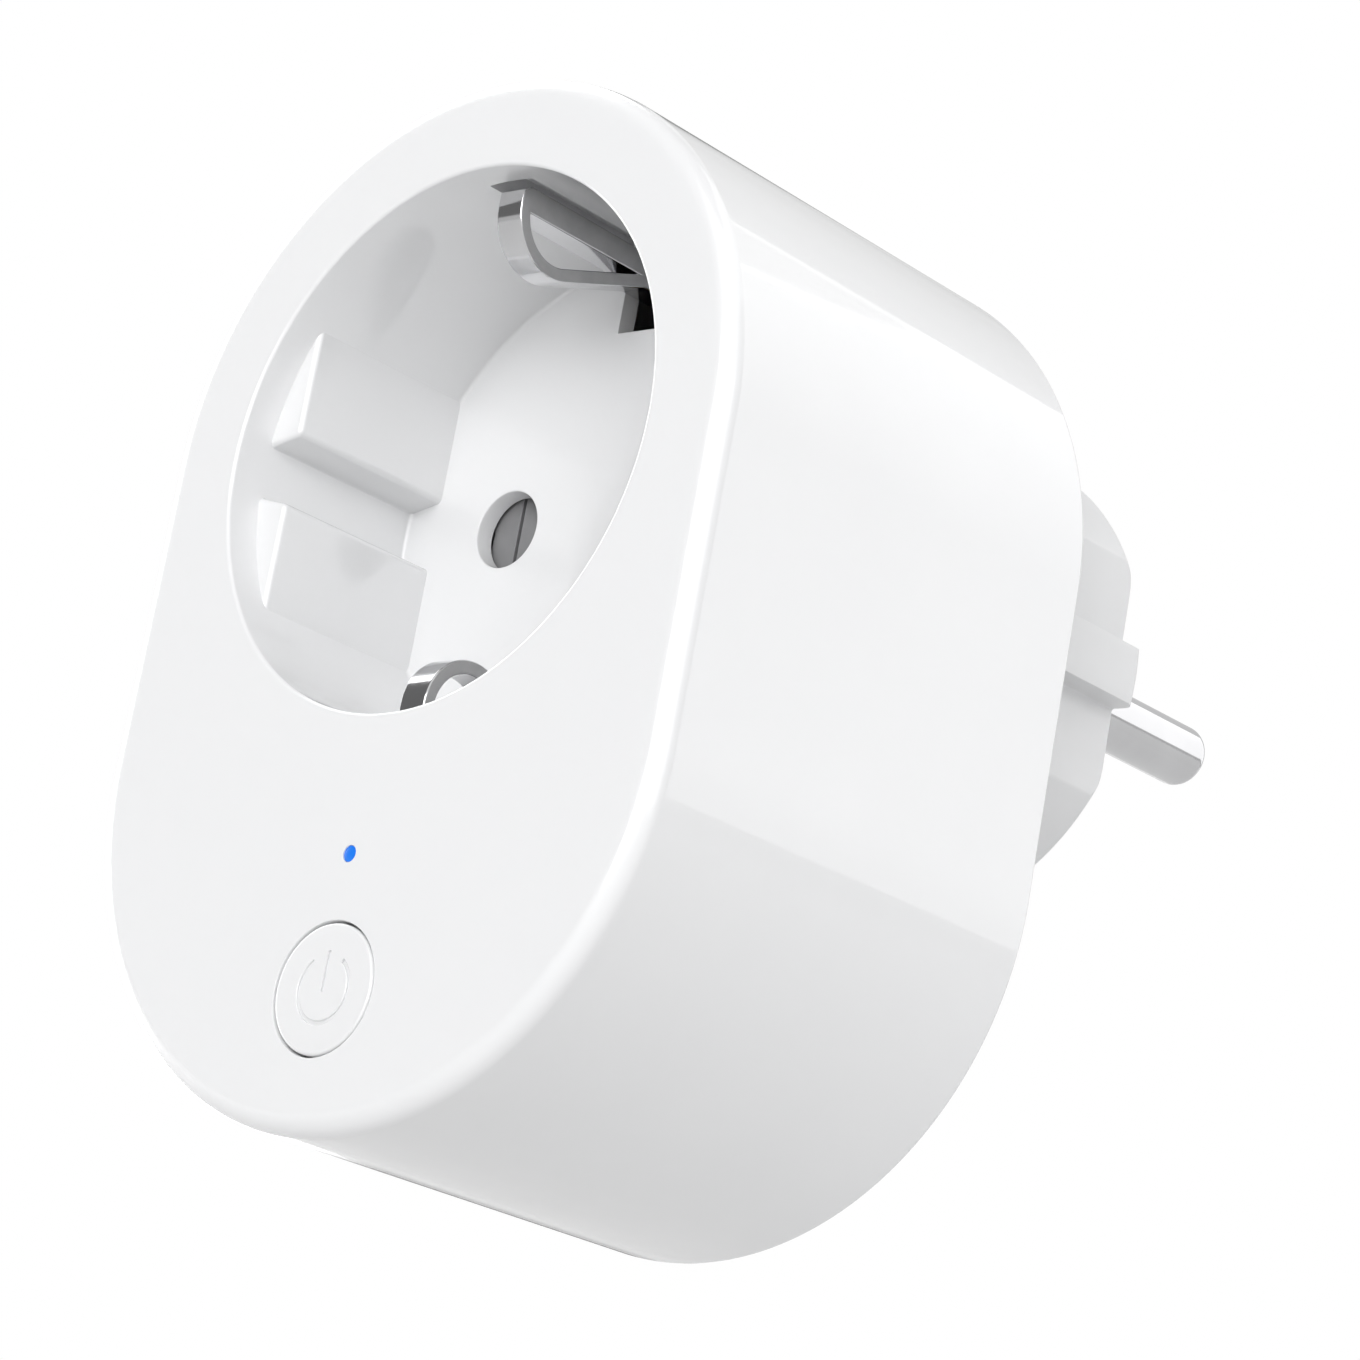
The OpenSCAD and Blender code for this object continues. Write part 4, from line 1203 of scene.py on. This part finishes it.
@dataclass(frozen=True)
class Viewpoint:
    """Where the picture is taken from: angles in degrees, place in metres, lens in mm."""

    azimuth: float = 43.9096
    elevation: float = -14.8788
    roll: float = 10.2893
    place: Point = (0.221212, -0.258675, -0.093872)
    lens: float = 121.071
    shift: Point = (0.00012, 0.00667)

    def build(self) -> bpy.types.Object:
        """Makes the camera and returns its object."""
        azimuth, elevation = math.radians(self.azimuth), math.radians(self.elevation)
        back = Vector((math.sin(azimuth) * math.cos(elevation), -math.cos(azimuth) * math.cos(elevation),
                       math.sin(elevation)))
        right = Vector((math.cos(azimuth), math.sin(azimuth), 0))
        turn = Matrix((right, back.cross(right), back)).transposed()
        turn = turn @ Matrix.Rotation(math.radians(self.roll), 3, "Z")
        data = bpy.data.cameras.new("viewpoint")
        data.lens = self.lens
        data.sensor_width = 36
        data.shift_x, data.shift_y = self.shift
        data.clip_start, data.clip_end = 0.01, 20
        camera = bpy.data.objects.new("viewpoint", data)
        camera.matrix_world = Matrix.Translation(self.place) @ turn.to_4x4()
        bpy.context.scene.collection.objects.link(camera)
        bpy.context.scene.camera = camera
        return camera


@dataclass(frozen=True)
class SoftBox:
    """A soft patch of light far away, by its direction: azimuth from +X towards +Y, in degrees."""

    azimuth: float
    half_width: float
    low: float
    high: float
    strength: float
    edge: float = 0.5


@dataclass(frozen=True)
class Studio:
    """A plain light room: pale floor, even light all round and a few soft boxes."""

    base: float = 0.17
    top: float = 0.36
    floor_z: float = -0.26
    floor_size: float = 6.0
    floor_shade: float = 0.5
    boxes: tuple[SoftBox, ...] = (
        SoftBox(0, 180, -6, 2.3, 0.4),
        SoftBox(22, 22, 2.3, 45, 0.12),
        SoftBox(67, 23, 2.3, 45, 1.25),
        SoftBox(45, 45, 45, 75, 0.9),
        SoftBox(-67, 23, -5, 25, 4.1, 3),
        SoftBox(-22, 22, -5, 25, 1.45, 3),
        SoftBox(-45, 45, 25, 65, 0.68, 3),
        SoftBox(170, 30, -5, 60, 4.8, 3),
        SoftBox(110, 20, -5, 60, 0.5, 3),
    )

    def floor(self, finishes: Finishes) -> bpy.types.Object:
        """Makes the pale floor."""
        clear_selection()
        bpy.ops.mesh.primitive_grid_add(x_subdivisions=8, y_subdivisions=8, size=self.floor_size,
                                        location=(0, 0, self.floor_z))
        floor = bpy.context.object
        floor.name = "floor"
        shade = self.floor_shade
        finishes.dress(floor, Finish("pale_floor", (shade, shade, shade), (shade * 0.98,) * 3, 0.6, mottle=4,
                                     scale=400, height=0.05))
        return floor

    def ramp(self, tree: bpy.types.NodeTree, value: bpy.types.NodeSocket, low: float, high: float,
             ) -> bpy.types.NodeSocket:
        """Adds a smooth step from 0 at low to 1 at high and returns its output."""
        step = tree.nodes.new("ShaderNodeMapRange")
        step.interpolation_type = "SMOOTHSTEP"
        step.inputs["From Min"].default_value = low
        step.inputs["From Max"].default_value = high
        tree.links.new(value, step.inputs["Value"])
        return step.outputs["Result"]

    def maths(
        self, tree: bpy.types.NodeTree, kind: str, first: object, second: object
    ) -> bpy.types.NodeSocket:
        """Adds a Math node fed by sockets or numbers and returns its output."""
        node = tree.nodes.new("ShaderNodeMath")
        node.operation = kind
        for socket, value in zip(node.inputs, (first, second)):
            if isinstance(value, (int, float)):
                socket.default_value = value
            else:
                tree.links.new(value, socket)
        return node.outputs["Value"]

    def light(self) -> None:
        """Builds the world: plain white behind the object, and the studio's light from all round."""
        world = bpy.data.worlds.new("studio")
        bpy.context.scene.world = world
        world.use_nodes = True
        tree = world.node_tree
        tree.nodes.clear()
        where = tree.nodes.new("ShaderNodeTexCoord").outputs["Generated"]
        parts = tree.nodes.new("ShaderNodeSeparateXYZ")
        tree.links.new(where, parts.inputs["Vector"])
        x, y, height = parts.outputs
        total = self.maths(tree, "MULTIPLY_ADD", self.ramp(tree, height, 0.5, 1.0), self.top - self.base)
        total.node.inputs[2].default_value = self.base
        for box in self.boxes:
            middle = math.radians(box.azimuth)
            ahead = self.maths(tree, "ADD", self.maths(tree, "MULTIPLY", x, math.cos(middle)),
                               self.maths(tree, "MULTIPLY", y, math.sin(middle)))
            aside = self.maths(tree, "ADD", self.maths(tree, "MULTIPLY", x, -math.sin(middle)),
                               self.maths(tree, "MULTIPLY", y, math.cos(middle)))
            angle = self.maths(tree, "ABSOLUTE", self.maths(tree, "ARCTAN2", aside, ahead), 0)
            lift = self.maths(tree, "MULTIPLY", self.maths(tree, "ARCSINE", height, 0), 180 / math.pi)
            wide = self.ramp(tree, self.maths(tree, "MULTIPLY", angle, 180 / math.pi),
                             box.half_width + box.edge, box.half_width)
            tall = self.maths(tree, "MULTIPLY", self.ramp(tree, lift, box.low - box.edge, box.low),
                              self.ramp(tree, lift, box.high + box.edge, box.high))
            patch = self.maths(tree, "MULTIPLY", wide, tall)
            total = self.maths(tree, "ADD", total, self.maths(tree, "MULTIPLY", patch, box.strength))
        studio = tree.nodes.new("ShaderNodeBackground")
        tree.links.new(total, studio.inputs["Strength"])
        plain = tree.nodes.new("ShaderNodeBackground")
        choose = tree.nodes.new("ShaderNodeMixShader")
        seen = tree.nodes.new("ShaderNodeLightPath").outputs["Is Camera Ray"]
        output = tree.nodes.new("ShaderNodeOutputWorld")
        for node in (studio, plain):
            node.inputs["Color"].default_value = (1, 1, 1, 1)
        tree.links.new(seen, choose.inputs["Fac"])
        tree.links.new(studio.outputs["Background"], choose.inputs[1])
        tree.links.new(plain.outputs["Background"], choose.inputs[2])
        tree.links.new(choose.outputs["Shader"], output.inputs["Surface"])

    def build(self, finishes: Finishes) -> None:
        """Builds the floor and the light and sets a plain tone scale."""
        self.floor(finishes)
        self.light()
        bpy.context.scene.view_settings.view_transform = "Standard"


def main() -> None:
    """Builds every sub-assembly in order."""
    logging.basicConfig(level=logging.INFO, format="%(name)s: %(message)s")
    Viewpoint().build()
    finishes = Finishes()
    Inside().dress(finishes)
    housing = Housing()
    assemblies = [housing, RearCover(housing), Button(), StatusLight(), EarthClips(),
                  PlugPins(housing), PlugEarth(), CoverScrews(housing), Shutter()]
    for assembly in assemblies:
        assembly.build(finishes)
    Studio().build(finishes)
    clear_selection()


if __name__ == "__main__":
    main()
